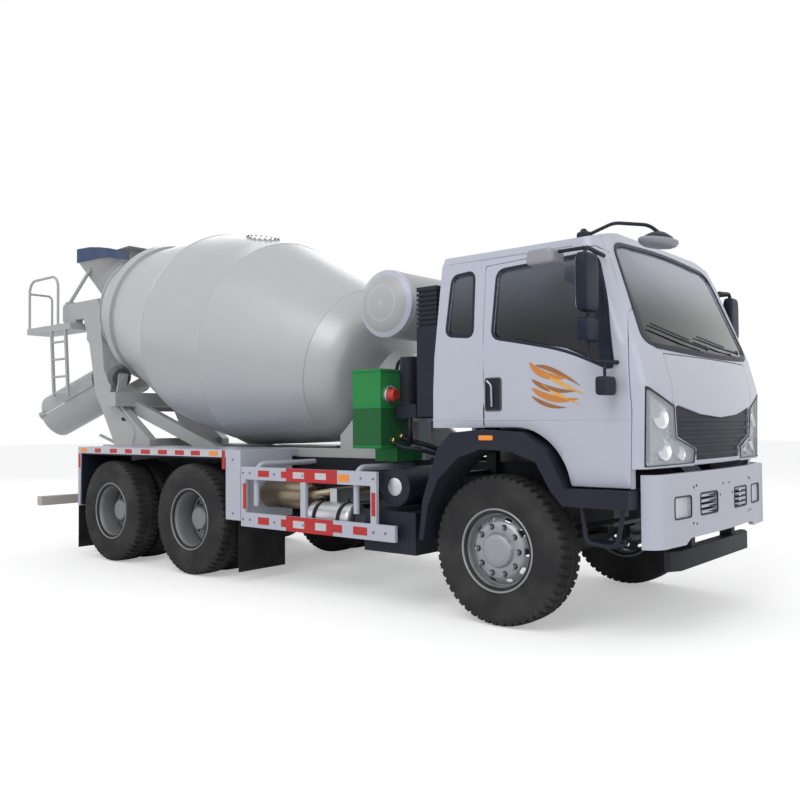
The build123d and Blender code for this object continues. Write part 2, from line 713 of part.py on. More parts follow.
def front_bumper():
    """Bumper shell with openings for lamps and slatted vents, a plate pad and its two carriers."""
    side_x = BUMPER_NOSE_X - BUMPER_BOW
    shell = bowed_bar(
        BUMPER_NOSE_X, side_x, BUMPER_END_X, 900, BUMPER_HALF, BUMPER_WALL, (BUMPER_BOTTOM, BUMPER_TOP)
    )
    through = (900, BUMPER_NOSE_X + 100)
    for y, z in (FOG_LAMP, AIR_VENT):
        for cut in both_sides(block(through, y, z)):
            shell -= cut
    low_edge = [(-700, 600), (700, 600), (610, BUMPER_BOTTOM + 38), (-610, BUMPER_BOTTOM + 38)]
    shell -= front_prism(low_edge, through)
    slats = []
    y, (low, high) = AIR_VENT
    for index in range(VENT_SLATS):
        z = low + (high - low) * (index + 0.5) / VENT_SLATS
        slat = block((BUMPER_NOSE_X - 48, BUMPER_NOSE_X - 14), (y[0] - 5, y[1] + 5), (z - 9, z + 9))
        slats += both_sides(slat)
    carriers = both_sides(
        block((CAB_PIVOT[0] + PIVOT_CHEEK, BUMPER_NOSE_X - BUMPER_WALL - 4), (350, FRAME_HALF), (750, 780))
    )
    across, up = PLATE_BOLTS
    pad = block(
        (BUMPER_NOSE_X - BUMPER_WALL + 4, BUMPER_NOSE_X), (-across / 2 - 35, across / 2 + 35),
        (PLATE_Z - up / 2 - 25, PLATE_Z + up / 2 + 25),
    )
    shape = fused([shell, pad, *slats, *carriers])
    for y in (-across / 2, across / 2):
        for z in (PLATE_Z - up / 2, PLATE_Z + up / 2):
            shape -= rod((BUMPER_NOSE_X + 5, y, z), (BUMPER_NOSE_X - 80, y, z), PLATE_BOLT_RADIUS)
    return shape


def underrun_bar():
    """Black bar under the bumper, its ends cut back, with its hangers from the rails."""
    front = BUMPER_NOSE_X - 70
    x = (front - 85, front)
    low = UNDERRUN_Z[0]
    outline = [
        (x[0], -UNDERRUN_HALF), (x[0], UNDERRUN_HALF), (front - 45, UNDERRUN_HALF),
        (front, UNDERRUN_HALF - 90), (front, 90 - UNDERRUN_HALF), (front - 45, -UNDERRUN_HALF),
    ]
    bar = plan_prism(outline, UNDERRUN_Z)
    hanger = (CAB_PIVOT[0] - PIVOT_CHEEK, CAB_PIVOT[0] + PIVOT_CHEEK)
    drops = both_sides(block(hanger, (360, FRAME_HALF), (low + 10, CAB_PIVOT[1] - 55)))
    return fused([bar, *drops])


def step_box():
    """Boarding steps in front of one wheel arch."""
    return block((530, 1012), (-1130, -900), (865, 980))


# Wheel arches and guards


def front_fender():
    """Arch over the right front wheel with its steps, carried from the rail."""
    outer = [
        (-625, 560), (-590, 850), (-451, 1225), (-333, 1340), (-74, 1362), (248, 1345), (432, 1240),
        (522, 1080), (572, 980), (1012, 980), (1012, 865), (560, 865), (470, 960),
        (361, 1147), (160, 1215), (-76, 1227), (-274, 1161), (-450, 1000), (-545, 800), (-585, 560),
    ]
    arch = side_prism(outer, (-SIDE_Y, -870))
    hoop = bent_tube(
        [(670, -1150, 880), (700, -1150, 640), (910, -1150, 625), (960, -1150, 880)], 15, 60
    )
    tread = block((690, 920), (-1150, -1010), (628, 646))
    carrier = rod((700, -FRAME_HALF, 930), (700, -880, 930), 30)
    rear_carrier = rod((-475, -FRAME_HALF - 70, 1020), (-475, -880, 1020), 25)
    return fused([arch, hoop, tread, carrier, rear_carrier])


def rear_fenders():
    """Box-shaped cover over both rear wheels of the right side, open below."""
    shell = side_prism(
        [
            (-5400, 545), (-5400, FENDER_TOP), (-2650, FENDER_TOP), (-2650, 560), (-2855, 560), (-2855, 1120),
            (-5340, 1120), (-5365, 545),
        ],
        (-SIDE_Y, -PEDESTAL_HALF - 15),
    )
    hollow = block((-2830, -2680), (-SIDE_Y + 6, -FRAME_HALF), (500, 1120))
    bridges = [
        block((x - 40, x + 40), (-PEDESTAL_HALF - 15, -FRAME_HALF), (FRAME_TOP + 10, SUBFRAME_TOP - 10))
        for x in (-2760, -4075, -5300)
    ]
    return fused([shell - hollow, *bridges])


def mud_flaps():
    """Rubber flaps before and behind the rear wheels and behind the front ones."""
    flaps = []
    for x, low, high, y in ((-5410, 90, 600, (-1190, -640)), (-2690, 100, 640, (-1190, -640))):
        flaps.append(block((x, x + 10), y, (low, high)))
    return flaps


def side_guard():
    """Right-hand ladder-shaped guard, carried by two bent tubes."""
    y = (-SIDE_Y, -SIDE_Y + 30)
    rails = [block((-2640, -1040), y, (GUARD_TOP - 110, GUARD_TOP)), block((-2640, -855), y, (515, 640))]
    posts = [block((x, x + 60), y, (515, GUARD_TOP)) for x in (-2640, -1880, -1100)]
    tubes = [
        bent_tube([(x, -FRAME_HALF, 1060), (x, -SIDE_Y + 60, 1060), (x, -SIDE_Y + 60, 700)], 25, 90)
        for x in (-2500, -1300)
    ]
    feet = [block((x - 30, x + 30), (-SIDE_Y + 30, -SIDE_Y + 62), (930, 1000)) for x in (-2500, -1300)]
    return fused([*rails, *posts, *tubes, *feet])


def underrun_rear():
    """Rear underrun beam on two drop arms."""
    beam = block((-6300, -6200), (-SIDE_Y, SIDE_Y), (500, 600))
    arms = both_sides(block((-6260, -6150), (350, FRAME_HALF), (600, FRAME_TOP - RAIL_HEIGHT)))
    return fused([beam, *arms])


# Tanks and boxes along the frame


def air_tanks():
    """Air tank under the right rail, with its strap."""
    length, radius = 550, 140
    tank = turned(
        [(0, 0), (0, radius - 90), (60, radius), (length - 60, radius), (length, radius - 90), (length, 0)],
        "X",
    )
    strap = block((-1850, -1770), (-880, -FRAME_HALF), (AIR_TANK_Z + radius - 15, AIR_TANK_Z + radius + 110))
    return fused([Pos(-2050, -880, AIR_TANK_Z) * tank, strap])


def silencer():
    """Silencer drum beside the right rail, with its strap."""
    length, radius = 560, 120
    drum = turned(
        [(0, 0), (0, radius - 40), (40, radius), (length - 40, radius), (length, radius - 40), (length, 0)],
        "X",
    )
    strap = block((-2400, -2340), (-880, -FRAME_HALF), (SILENCER_Z + radius - 20, SILENCER_Z + radius + 30))
    return fused([Pos(-2640, -880, SILENCER_Z) * drum, strap])


def fuel_tank():
    """Fuel tank on the left side."""
    tank = block((-2500, -1400), (FRAME_HALF + 20, 1090), (430, 1010))
    straps = [block((x, x + 60), (FRAME_HALF, FRAME_HALF + 30), (850, 1000)) for x in (-2300, -1700)]
    return fused([tank, *straps])


def battery_box():
    """Battery and valve boxes behind the right front wheel."""
    box = block((-1240, -720), (-1120, -FRAME_HALF - 30), (420, 740))
    hook = block((-1100, -900), (-FRAME_HALF - 30, -FRAME_HALF), (640, 860))
    neck = block((-1100, -900), (-FRAME_HALF - 60, -FRAME_HALF - 30), (640, 860))
    return fused([box, hook, neck])


def air_cleaner():
    """Round air cleaner lying across the truck behind the cab."""
    drum = Pos(-930, -1110, 925) * turned([(0, 0), (0, 150), (600, 150), (600, 0)])
    bracket = block((-980, -880), (-520, -FRAME_HALF), (860, 960))
    return fused([drum, bracket])


def mixer_subframe():
    """Rails on the truck's frame and the front pedestal of the drum drive."""
    rails = both_sides(
        block((FRAME_REAR, SUBFRAME_FRONT), (FRAME_HALF - 80, FRAME_HALF), (FRAME_TOP, SUBFRAME_TOP))
    )
    bars = [
        block((x - 40, x + 40), (-FRAME_HALF + 80, FRAME_HALF - 80), (FRAME_TOP, SUBFRAME_TOP))
        for x in (-1400, -2100, -3000, -4075, -5100, -5900)
    ]
    leg = side_prism(
        [
            (-2180, SUBFRAME_TOP), (-1330, SUBFRAME_TOP), (-1330, SUBFRAME_TOP + 60), (-1613, 1441),
            (-1943, 1522), (-2180, SUBFRAME_TOP + 120),
        ],
        (FRAME_HALF - 70, FRAME_HALF - 20),
    )
    table = block((-300, 40), (-FRAME_HALF + 20, FRAME_HALF - 20), (-360, -330))
    return fused([*rails, *bars, *both_sides(leg), drum_plane().location * table])


def drum_plane():
    """Plane whose x runs along the drum's axis from the front head."""
    lean = radians(DRUM_TILT)
    x, z = DRUM_START
    return Plane(origin=(x, 0, z), x_dir=(-cos(lean), 0, sin(lean)), z_dir=(sin(lean), 0, cos(lean)))


def along_drum(station, radius, turn):
    """Point at a station of the drum, a radius off its axis, turned from straight down."""
    lean = radians(DRUM_TILT)
    down = radius * cos(radians(turn))
    x = DRUM_START[0] - station * cos(lean) - down * sin(lean)
    z = DRUM_START[1] + station * sin(lean) - down * cos(lean)
    return (x, radius * sin(radians(turn)), z)


def drum_shell():
    """Drum of plate with a dished front head, three cones, a track ring and an open mouth."""
    outer = [
        (130, 0), (150, 420), (230, 600), (495, 750), (1650, 1073), (2150, 1088), (2654, 1060),
        (RING_STATION, 800), (RING_STATION, RING_RADIUS), (RING_STATION + RING_WIDTH, RING_RADIUS),
        (RING_STATION + RING_WIDTH, 775), (MOUTH_STATION - 20, MOUTH_RADIUS - 12),
        (MOUTH_STATION - 20, MOUTH_RADIUS), (MOUTH_STATION, MOUTH_RADIUS),
    ]
    wall = DRUM_WALL
    inner = [
        (MOUTH_STATION, MOUTH_RADIUS - 12 - wall), (2654, 1060 - wall), (2150, 1088 - wall),
        (1650, 1073 - wall), (495 + wall, 750 - wall), (230 + wall, 600 - wall), (150 + wall, 420),
        (130 + wall, 0),
    ]
    flange = turned([(60, 0), (60, 150), (140, 150), (140, 0)], "X")
    return drum_plane().location * fused([turned(outer + inner, "X"), flange])


def drum_reducer():
    """Gear case of the drum drive on the front pedestal, with its hydraulic motor."""
    case = turned([(-330, 0), (-330, 150), (-250, 250), (20, 250), (55, 170), (55, 0)], "X")
    motor = turned([(-600, 0), (-600, 90), (-330, 90), (-330, 0)], "X")
    seat = block((-300, 40), (-240, 240), (-330, -100))
    return drum_plane().location * fused([case, motor, seat])


def roller_location(side):
    """Location of a roller's axes, its x along the drum's, seated under the track ring."""
    reach = RING_RADIUS + ROLLER_RADIUS + SEAT_GAP
    centre = along_drum(RING_STATION + RING_WIDTH / 2, reach, side * ROLLER_ANGLE)
    tilt = drum_plane()
    return Plane(origin=centre, x_dir=tilt.x_dir, z_dir=tilt.z_dir).location


def roller(side):
    """Track roller with its pin's bore, its axis along the drum's."""
    half = ROLLER_WIDTH / 2
    bore = ROLLER_PIN + RUNNING_FIT
    outline = [(-half, bore), (-half, ROLLER_RADIUS), (half, ROLLER_RADIUS), (half, bore)]
    return roller_location(side) * turned(outline, "X")


def roller_mount(side):
    """Pin and two cheeks that carry one roller."""
    half = ROLLER_WIDTH / 2
    pin = rod((-half - 45, 0, 0), (half + 45, 0, 0), ROLLER_PIN)
    cheeks = [
        block(x, (-55, 55), (-330, 55)) for x in ((half + 6, half + 36), (-half - 36, -half - 6))
    ]
    return roller_location(side) * fused([pin, *cheeks])


def rear_pedestal():
    """Weldment over the rear axle: side plates, beams, roller mounts and braces."""
    y = (PEDESTAL_HALF - PEDESTAL_LEG, PEDESTAL_HALF)
    leg = side_prism(
        [
            (-6090, 2960), (-6060, 2760), (-6010, 2440), (-5960, 2090), (-5850, 1935), (-5510, 1590),
            (-5010, 1250), (-5010, SUBFRAME_TOP), (-5720, SUBFRAME_TOP), (-5980, 1580), (-6160, 1820),
            (-6230, 2160), (-6290, 2410), (-6430, PEDESTAL_SHELF), (-6930, PEDESTAL_SHELF), (-6930, 2930),
            (-6900, 2960),
        ],
        y,
    )
    slot_x, slot_z = PEDESTAL_SLOT
    for x, z, radius in ((*PEDESTAL_HOLE, 45), (slot_x - 45, slot_z, 22), (slot_x + 45, slot_z, 22)):
        leg -= rod((x, 0, z), (x, PEDESTAL_HALF + 10, z), radius)
    leg -= block((slot_x - 45, slot_x + 45), (0, PEDESTAL_HALF + 10), (slot_z - 22, slot_z + 22))
    beams = [
        block((-5720, -5480), (-700, 700), (1640, 1800)),
        block((-5200, -5080), (-PEDESTAL_HALF, PEDESTAL_HALF), (SUBFRAME_TOP, SUBFRAME_TOP + 80)),
        block((-5960, -5860), (-PEDESTAL_HALF, PEDESTAL_HALF), (1590, 1690)),
    ]
    brace = side_prism(
        [(-5560, 1720), (-5560, 1560), (-4380, SUBFRAME_TOP), (-3950, SUBFRAME_TOP)], (350, FRAME_HALF)
    )
    mounts = [roller_mount(side) for side in (-1, 1)]
    socket = rod((CHUTE_X, 0, SUBFRAME_TOP - 100), (CHUTE_X, 0, SUBFRAME_TOP), 80)
    tongue = block((CHUTE_X, -5940), (-70, 70), (SUBFRAME_TOP - 80, SUBFRAME_TOP - 5))
    bore = rod((CHUTE_X, 0, SUBFRAME_TOP - 110), (CHUTE_X, 0, SUBFRAME_TOP + 10), 45 + RUNNING_FIT)
    swivel = fused([socket, tongue]) - bore
    return fused([*both_sides(leg), *beams, *both_sides(brace), *mounts]), swivel


def hopper_form(inset, past):
    """Filled form of the hopper, drawn in by the inset and run past its two ends: rim, waist, outlet."""
    sections = []
    for rear, front, half, low_rear, low_front in (
        (HOPPER_REAR, HOPPER_FRONT, HOPPER_HALF, HOPPER_TOP + past, HOPPER_TOP + 40 + past),
        (-6600, -5765, 330, 3240, 3532),
        (-6250, -5785, 240, 2830 - past, 2990 - past),
    ):
        sections.append(
            Wire.make_polygon(
                [
                    (rear + inset, -half + inset, low_rear), (front - inset, -half + inset, low_front),
                    (front - inset, half - inset, low_front), (rear + inset, half - inset, low_rear),
                ],
                close=True,
            )
        )
    return Solid.make_loft(sections, ruled=True)


def hopper():
    """Loading hopper of plate with its struts, and the funnel from the mouth to the chute."""
    shell = hopper_form(0, 0) - hopper_form(7, 15)
    strut = rod((-6560, -HOPPER_HALF + 60, 3400), (-6840, -PEDESTAL_HALF + 50, 2986), 22)
    foot = block((-6890, -6790), (-PEDESTAL_HALF + 10, -PEDESTAL_HALF + 90), (2960, 2990))
    mouth_side = Pos(90, 0, 0) * collector_form(6) & block((-6200, -5900), (-500, 500), (2200, 2900))
    funnel = collector_form(0) - collector_form(6) - mouth_side
    lug = block((-6500, -6300), (-PEDESTAL_HALF + PEDESTAL_LEG, -436), (2762, 2788))
    return [fused([shell, *both_sides(fused([strut, foot]))]), fused([funnel, *both_sides(lug)])]


# x, lower z and upper z of the lip in side view
LIP_STATIONS = (
    (HOPPER_REAR - LIP_WALL, 3495, LIP_TOP), (-6470, 3490, 3655), (-6240, 3485, 3622), (-6010, 3462, 3577),
    (-5790, 3415, 3522), (HOPPER_FRONT, 3380, 3468),
)


def hopper_lip():
    """Rubber lip round the hopper's rim, open at the front and falling away toward the drum."""
    half = HOPPER_HALF + LIP_WALL
    lower = [(x, low) for x, low, high in LIP_STATIONS]
    upper = [(x, high) for x, low, high in reversed(LIP_STATIONS)]
    width = (-HOPPER_HALF, HOPPER_HALF)
    inner = block((HOPPER_REAR, HOPPER_FRONT + 100), width, (HOPPER_TOP - 200, LIP_TOP + 100))
    return side_prism(lower + upper, (-half, half)) - inner


def collector_form(inset):
    """Filled form of the collector from behind the mouth down to the chute."""
    sections = []
    for rear, front, half, z in (
        (-6560, -6080, 440, 2790), (-6560, -6080, 440, 2500), (-6500, -6160, 180, 2080),
    ):
        sections.append(
            Wire.make_polygon(
                [
                    (rear + inset, -half + inset, z), (front - inset, -half + inset, z),
                    (front - inset, half - inset, z), (rear + inset, half - inset, z),
                ],
                close=True,
            )
        )
    return Solid.make_loft(sections, ruled=True)


# x at the top and at the foot of each ladder stringer
LADDER_STRINGERS = ((-7110, -7040), (-6760, -6690))


def rear_platform():
    """Platform beside the hopper with its handrail and ladder."""
    low, high = PLATFORM_Y
    rail_y = low + 20
    deck_low = PLATFORM_TOP - 80
    rear, front = -7680, -6940
    deck = block((-REAR_OVERHANG, -6600), PLATFORM_Y, (deck_low, PLATFORM_TOP))
    lug = block(
        (-6900, -6620), (-PEDESTAL_HALF, -PEDESTAL_HALF + PEDESTAL_LEG), (PLATFORM_TOP - 1, PEDESTAL_SHELF)
    )
    rail = bent_tube(
        [(rear, rail_y, 2700), (rear, rail_y, RAIL_TOP), (front, rail_y, RAIL_TOP), (front, rail_y, 2700)],
        16, 150,
    )
    inner_rail = bent_tube(
        [(rear, rail_y, 3170), (rear, high - 20, 3170), (rear, high - 20, 2700)], 14, 60
    )
    stringers = []
    for top, foot in LADDER_STRINGERS:
        outline = [(top, deck_low), (top + 40, deck_low), (foot + 40, LADDER_FOOT), (foot, LADDER_FOOT)]
        stringers.append(side_prism(outline, (low, low + 30)))
    rungs = []
    for z in (2480, 2260, 2040, 1830):
        down = (deck_low - z) / (deck_low - LADDER_FOOT)
        ends = [(top + (foot - top) * down + 20, low + 15, z) for top, foot in LADDER_STRINGERS]
        rungs.append(rod(*ends, 14))
    return fused([deck, lug, rail, inner_rail, *stringers, *rungs])


def chute_plane():
    """Plane at the swivel, x outward along the chute in plan."""
    turn = radians(180 + CHUTE_TURN)
    return Plane(origin=(CHUTE_X, 0, 0), x_dir=(cos(turn), sin(turn), 0), z_dir=(0, 0, 1))


def chute_form(radius, start, end, low):
    """Half-round bar along the chute's slope, flat side up."""
    bar = rod((start, 0, 0), (end, 0, 0), radius)
    return bar - block((start - 1, end + 1), (-radius, radius), (low, radius))


def chute_location():
    """Location of the trough's own axes, tipped down from the swivel."""
    return chute_plane().location * Pos(0, 0, CHUTE_Z) * Rot(0, CHUTE_SLOPE, 0)


def chute_hinge():
    """Place of the tilt pin along and across the trough's own axes."""
    drop = CHUTE_Z - CHUTE_PIN_Z
    return drop * sin(radians(CHUTE_SLOPE)), -drop * cos(radians(CHUTE_SLOPE))


def chute_main():
    """Half-round trough with the ears of its tilt pin and the two pins of its extension."""
    shape = chute_form(CHUTE_RADIUS, -120, CHUTE_LENGTH, 0)
    shape -= chute_form(CHUTE_RADIUS - CHUTE_WALL, -200, CHUTE_LENGTH + 5, 1)
    hinge_x, hinge_z = chute_hinge()
    for y in ((-60, -45), (45, 60)):
        ear = block((hinge_x - 30, hinge_x + 30), y, (hinge_z - 25, -CHUTE_RADIUS + 20))
        shape += ear - chute_form(CHUTE_RADIUS - 1, -200, CHUTE_LENGTH, 1)
    shape -= rod((hinge_x, -70, hinge_z), (hinge_x, 70, hinge_z), CHUTE_PIN_RADIUS + RUNNING_FIT)
    pin_z = EXTENSION_LIFT / 2
    outer = CHUTE_RADIUS + 8
    for side in (-1, 1):
        width = sorted((side * (CHUTE_RADIUS - CHUTE_WALL), side * outer))
        lug = block((CHUTE_LENGTH - 22, CHUTE_LENGTH + 14), width, (-40, 18))
        ends = [(CHUTE_LENGTH, side * y, pin_z) for y in (outer - 2, outer + 20)]
        pin = rod(*ends, EXTENSION_PIN_RADIUS)
        shape = fused([shape, lug, pin])
    return chute_location() * shape


def chute_extension():
    """Extension trough, folded back upside down on the main trough, with its two hinge lugs."""
    start = CHUTE_LENGTH - EXTENSION_LENGTH
    end = CHUTE_LENGTH - 28
    shell = chute_form(CHUTE_RADIUS, start, end, 0)
    shell -= chute_form(CHUTE_RADIUS - CHUTE_WALL, start - 10, end + 10, 1)
    shape = Pos(0, 0, EXTENSION_LIFT) * Rot(180, 0, 0) * shell
    pin_z = EXTENSION_LIFT / 2
    inner = CHUTE_RADIUS + 8 + SEAT_GAP
    for side in (-1, 1):
        width = sorted((side * inner, side * (inner + 12)))
        lug = block((end - 50, CHUTE_LENGTH + 14), width, (pin_z - 14, 44))
        width = sorted((side * (CHUTE_RADIUS - 5), side * (inner + 2)))
        foot = block((end - 50, end - 2), width, (EXTENSION_LIFT + 2, 44))
        bore = rod(
            (CHUTE_LENGTH, side * (inner - 5), pin_z), (CHUTE_LENGTH, side * (inner + 20), pin_z),
            EXTENSION_PIN_RADIUS + RUNNING_FIT,
        )
        shape = fused([shape, lug, foot]) - bore
    return chute_location() * shape


def chute_bracket():
    """Swivel post under the chute with its support arm and strut."""
    post = rod((0, 0, SUBFRAME_TOP - 100), (0, 0, CHUTE_PIN_Z - 20), 45)
    collar = rod((0, 0, SUBFRAME_TOP + SEAT_GAP), (0, 0, SUBFRAME_TOP + 40), 62)
    eye = rod((0, -45 + SEAT_GAP, CHUTE_PIN_Z), (0, 45 - SEAT_GAP, CHUTE_PIN_Z), 30)
    pin = rod((0, -64, CHUTE_PIN_Z), (0, 64, CHUTE_PIN_Z), CHUTE_PIN_RADIUS)
    arm = rod((0, 0, SUBFRAME_TOP + 60), (230, 0, SUBFRAME_TOP + 30), 26)
    strut = rod((230, 0, SUBFRAME_TOP + 30), (430, 0, SUBFRAME_TOP + 110), 20)
    return chute_plane().location * fused([post, collar, eye, pin, arm, strut])


# Tanks above the frame


def water_tank():
    """White water tank across the truck behind the cab, on its stand."""
    outline = [(-760, 0), (-740, 150), (-680, 285), (680, 285), (740, 150), (760, 0)]
    tank = Pos(-1380, 0, 2420) * turned(outline)
    stand = both_sides(block((-1240, -1160), (FRAME_HALF - 70, FRAME_HALF), (FRAME_TOP, 2215)))
    return fused([tank, *stand])


def hydraulic_tank():
    """Green hydraulic oil tank on the right side."""
    tank = block((-1470, -1165), (-1000, -650), (1210, 1842))
    shelf = block((-1440, -1200), (-760, -FRAME_HALF), (FRAME_TOP, FRAME_TOP + 110))
    return fused([tank, shelf])


def oil_filter():
    """Filter standing on its box beside the water tank's stand, with the plate above it."""
    box = block((-1130, -920), (-860, -FRAME_HALF), (1450, 1560))
    can = rod((-1030, -800, 1560), (-1030, -800, 1940), 75)
    foot = block((-1240, -1130), (-FRAME_HALF - 60, -FRAME_HALF), (1460, 1550))
    neck = block((-1180, -1130), (-FRAME_HALF - 60, -FRAME_HALF), (1460, 1550))
    return fused([box, can, foot, neck])


def chassis_lamps():
    """Rear lamp clusters on the underrun beam."""
    return both_sides(block((-6330, -6300), (760, 1150), (505, 595)))


def front_lamps():
    """Fog lamps in the bumper's openings."""
    return both_sides(block((1105, BUMPER_NOSE_X - BUMPER_BOW), *FOG_LAMP))


# Write every node
walls = cab_walls()
space = cab_interior_space()
save("frame_rails", fused([frame_rails(), *both_sides(cab_rest())]))
save("front_axle_beam", front_axle_beam())
save("knuckle_left", knuckle(1))
save("knuckle_right", knuckle(-1))
save("rear_axles", fused([*rear_axles(), *prop_shafts()]))
save("leaf_springs", *springs())
save("engine_block", engine())
save_wheels()
save("cab_shell", cab_shell(walls))
save("cab_glazing", *cab_glass())
right_door = door(walls)
save("door_right", right_door)
save("door_left", other_side(right_door))
right_glass = skin(GLASS_DEPTH, GLASS_THICKNESS) & side_prism(DOOR_WINDOW, BEYOND_SIDES[0])
save("door_glass_right", right_glass)
save("door_glass_left", other_side(right_glass))
save("front_panel", front_panel())
save("grille", grille())
save("headlamps", *headlamps())
save("cab_interior", *cab_interior(space))
right_mirrors = door_mirrors()
save("mirrors_right", right_mirrors)
save("mirrors_left", other_side(right_mirrors))
save("roof_mirror", roof_mirror())
save("intake_snorkel", intake_snorkel())
save("front_bumper", front_bumper())
save("front_fenders", *both_sides(front_fender()))
save("rear_fenders", *both_sides(rear_fenders()))
save("mud_flaps", *[flap for piece in mud_flaps() for flap in both_sides(piece)])
save("side_guards", *both_sides(side_guard()))
save("underrun_bars", underrun_bar(), underrun_rear())
save("air_tanks", air_tanks())
save("silencer", silencer())
save("fuel_tank", fuel_tank())
save("battery_box", battery_box())
save("air_cleaner", air_cleaner())
save("mixer_subframe", mixer_subframe())
save("drum_shell", drum_shell())
save("drum_reducer", drum_reducer())
save("roller_left", roller(1))
save("roller_right", roller(-1))
save("rear_pedestal", *rear_pedestal())
save("hopper", *hopper())
save("hopper_lip", hopper_lip())
save("rear_platform", rear_platform())
save("chute_bracket", chute_bracket())
save("chute_main", chute_main())
save("chute_extension", chute_extension())
save("water_tank", water_tank())
save("hydraulic_tank", hydraulic_tank())
save("oil_filter", oil_filter())
save("chassis_lamps", *chassis_lamps(), *front_lamps())
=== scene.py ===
"""Looks of the concrete mixer truck: finishes for the CAD pieces, and meshes that stand on or for them."""
import json
import logging
import math
from dataclasses import dataclass, field
from enum import Enum
from typing import Iterable, Optional, Sequence, Union

import bmesh
import bpy
import numpy as np
from mathutils import Matrix, Vector


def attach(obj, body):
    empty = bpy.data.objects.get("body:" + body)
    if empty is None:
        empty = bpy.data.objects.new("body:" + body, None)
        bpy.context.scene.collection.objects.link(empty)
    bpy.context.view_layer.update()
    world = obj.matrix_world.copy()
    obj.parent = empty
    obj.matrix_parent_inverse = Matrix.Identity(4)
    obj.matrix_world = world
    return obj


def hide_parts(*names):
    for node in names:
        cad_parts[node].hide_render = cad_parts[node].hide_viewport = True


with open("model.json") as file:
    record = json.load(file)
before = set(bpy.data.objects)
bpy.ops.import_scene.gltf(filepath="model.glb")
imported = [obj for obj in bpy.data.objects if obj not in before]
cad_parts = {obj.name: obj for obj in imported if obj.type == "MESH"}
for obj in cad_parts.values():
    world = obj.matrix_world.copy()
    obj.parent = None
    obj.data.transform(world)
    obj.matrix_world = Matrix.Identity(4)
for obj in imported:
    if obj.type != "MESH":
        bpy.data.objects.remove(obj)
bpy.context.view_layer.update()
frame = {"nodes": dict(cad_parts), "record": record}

LOG = logging.getLogger("mixer_truck")
Array = np.ndarray
Triple = tuple[float, float, float]
Points = Sequence[Sequence[float]]

# The truck's sizes are measured from the front axle, and ORIGIN moves them into the frame.
REACH = 8.9
NOSE = 1.19
ORIGIN = np.array([REACH / 2 - NOSE, 0.0, 0.0])
# Each side's name, and the sign that turns a piece of the right-hand side into this side's
SIDES = (("right", 1.0), ("left", -1.0))
# Axis (x, z) of the cab's pivot, the reach that holds its pins, and how much slimmer they are drawn
CAB_PIVOT = np.array((1.055, 0.800))
PIN_REACH = 0.0302
PIN_SHARE = 0.965
# Colours of what settles on the truck
ROAD_DUST = (0.36, 0.33, 0.29)
FINE_DUST = (0.30, 0.28, 0.25)
CEMENT = (0.52, 0.50, 0.47)


# Shader expressions


class Tone:
    """A shader socket that can be added, multiplied and clamped like a number."""

    def __init__(self, shader: "Shader", socket: bpy.types.NodeSocket) -> None:
        """Keeps the socket and the shader it belongs to."""
        self.shader = shader
        self.socket = socket

    def _math(self, operation: str, first: object, second: object) -> "Tone":
        """Adds one Math node.

        Args:
            operation: Math operation's name.
            first: first operand, a Tone or a number.
            second: second operand.

        Returns:
            The node's result.
        """
        return self.shader.node("ShaderNodeMath", {"operation": operation}, {0: first, 1: second})

    def __add__(self, other: object) -> "Tone":
        """Sum."""
        return self._math("ADD", self, other)

    def __sub__(self, other: object) -> "Tone":
        """Difference."""
        return self._math("SUBTRACT", self, other)

    def __rsub__(self, other: object) -> "Tone":
        """Difference, reflected."""
        return self._math("SUBTRACT", other, self)

    def __mul__(self, other: object) -> "Tone":
        """Product."""
        return self._math("MULTIPLY", self, other)

    def band(self, low: float, high: float) -> "Tone":
        """Smooth 0 to 1 ramp between two values."""
        values = {0: self, 1: low, 2: high, 3: 0.0, 4: 1.0}
        return self.shader.node("ShaderNodeMapRange", {"interpolation_type": "SMOOTHSTEP"}, values)


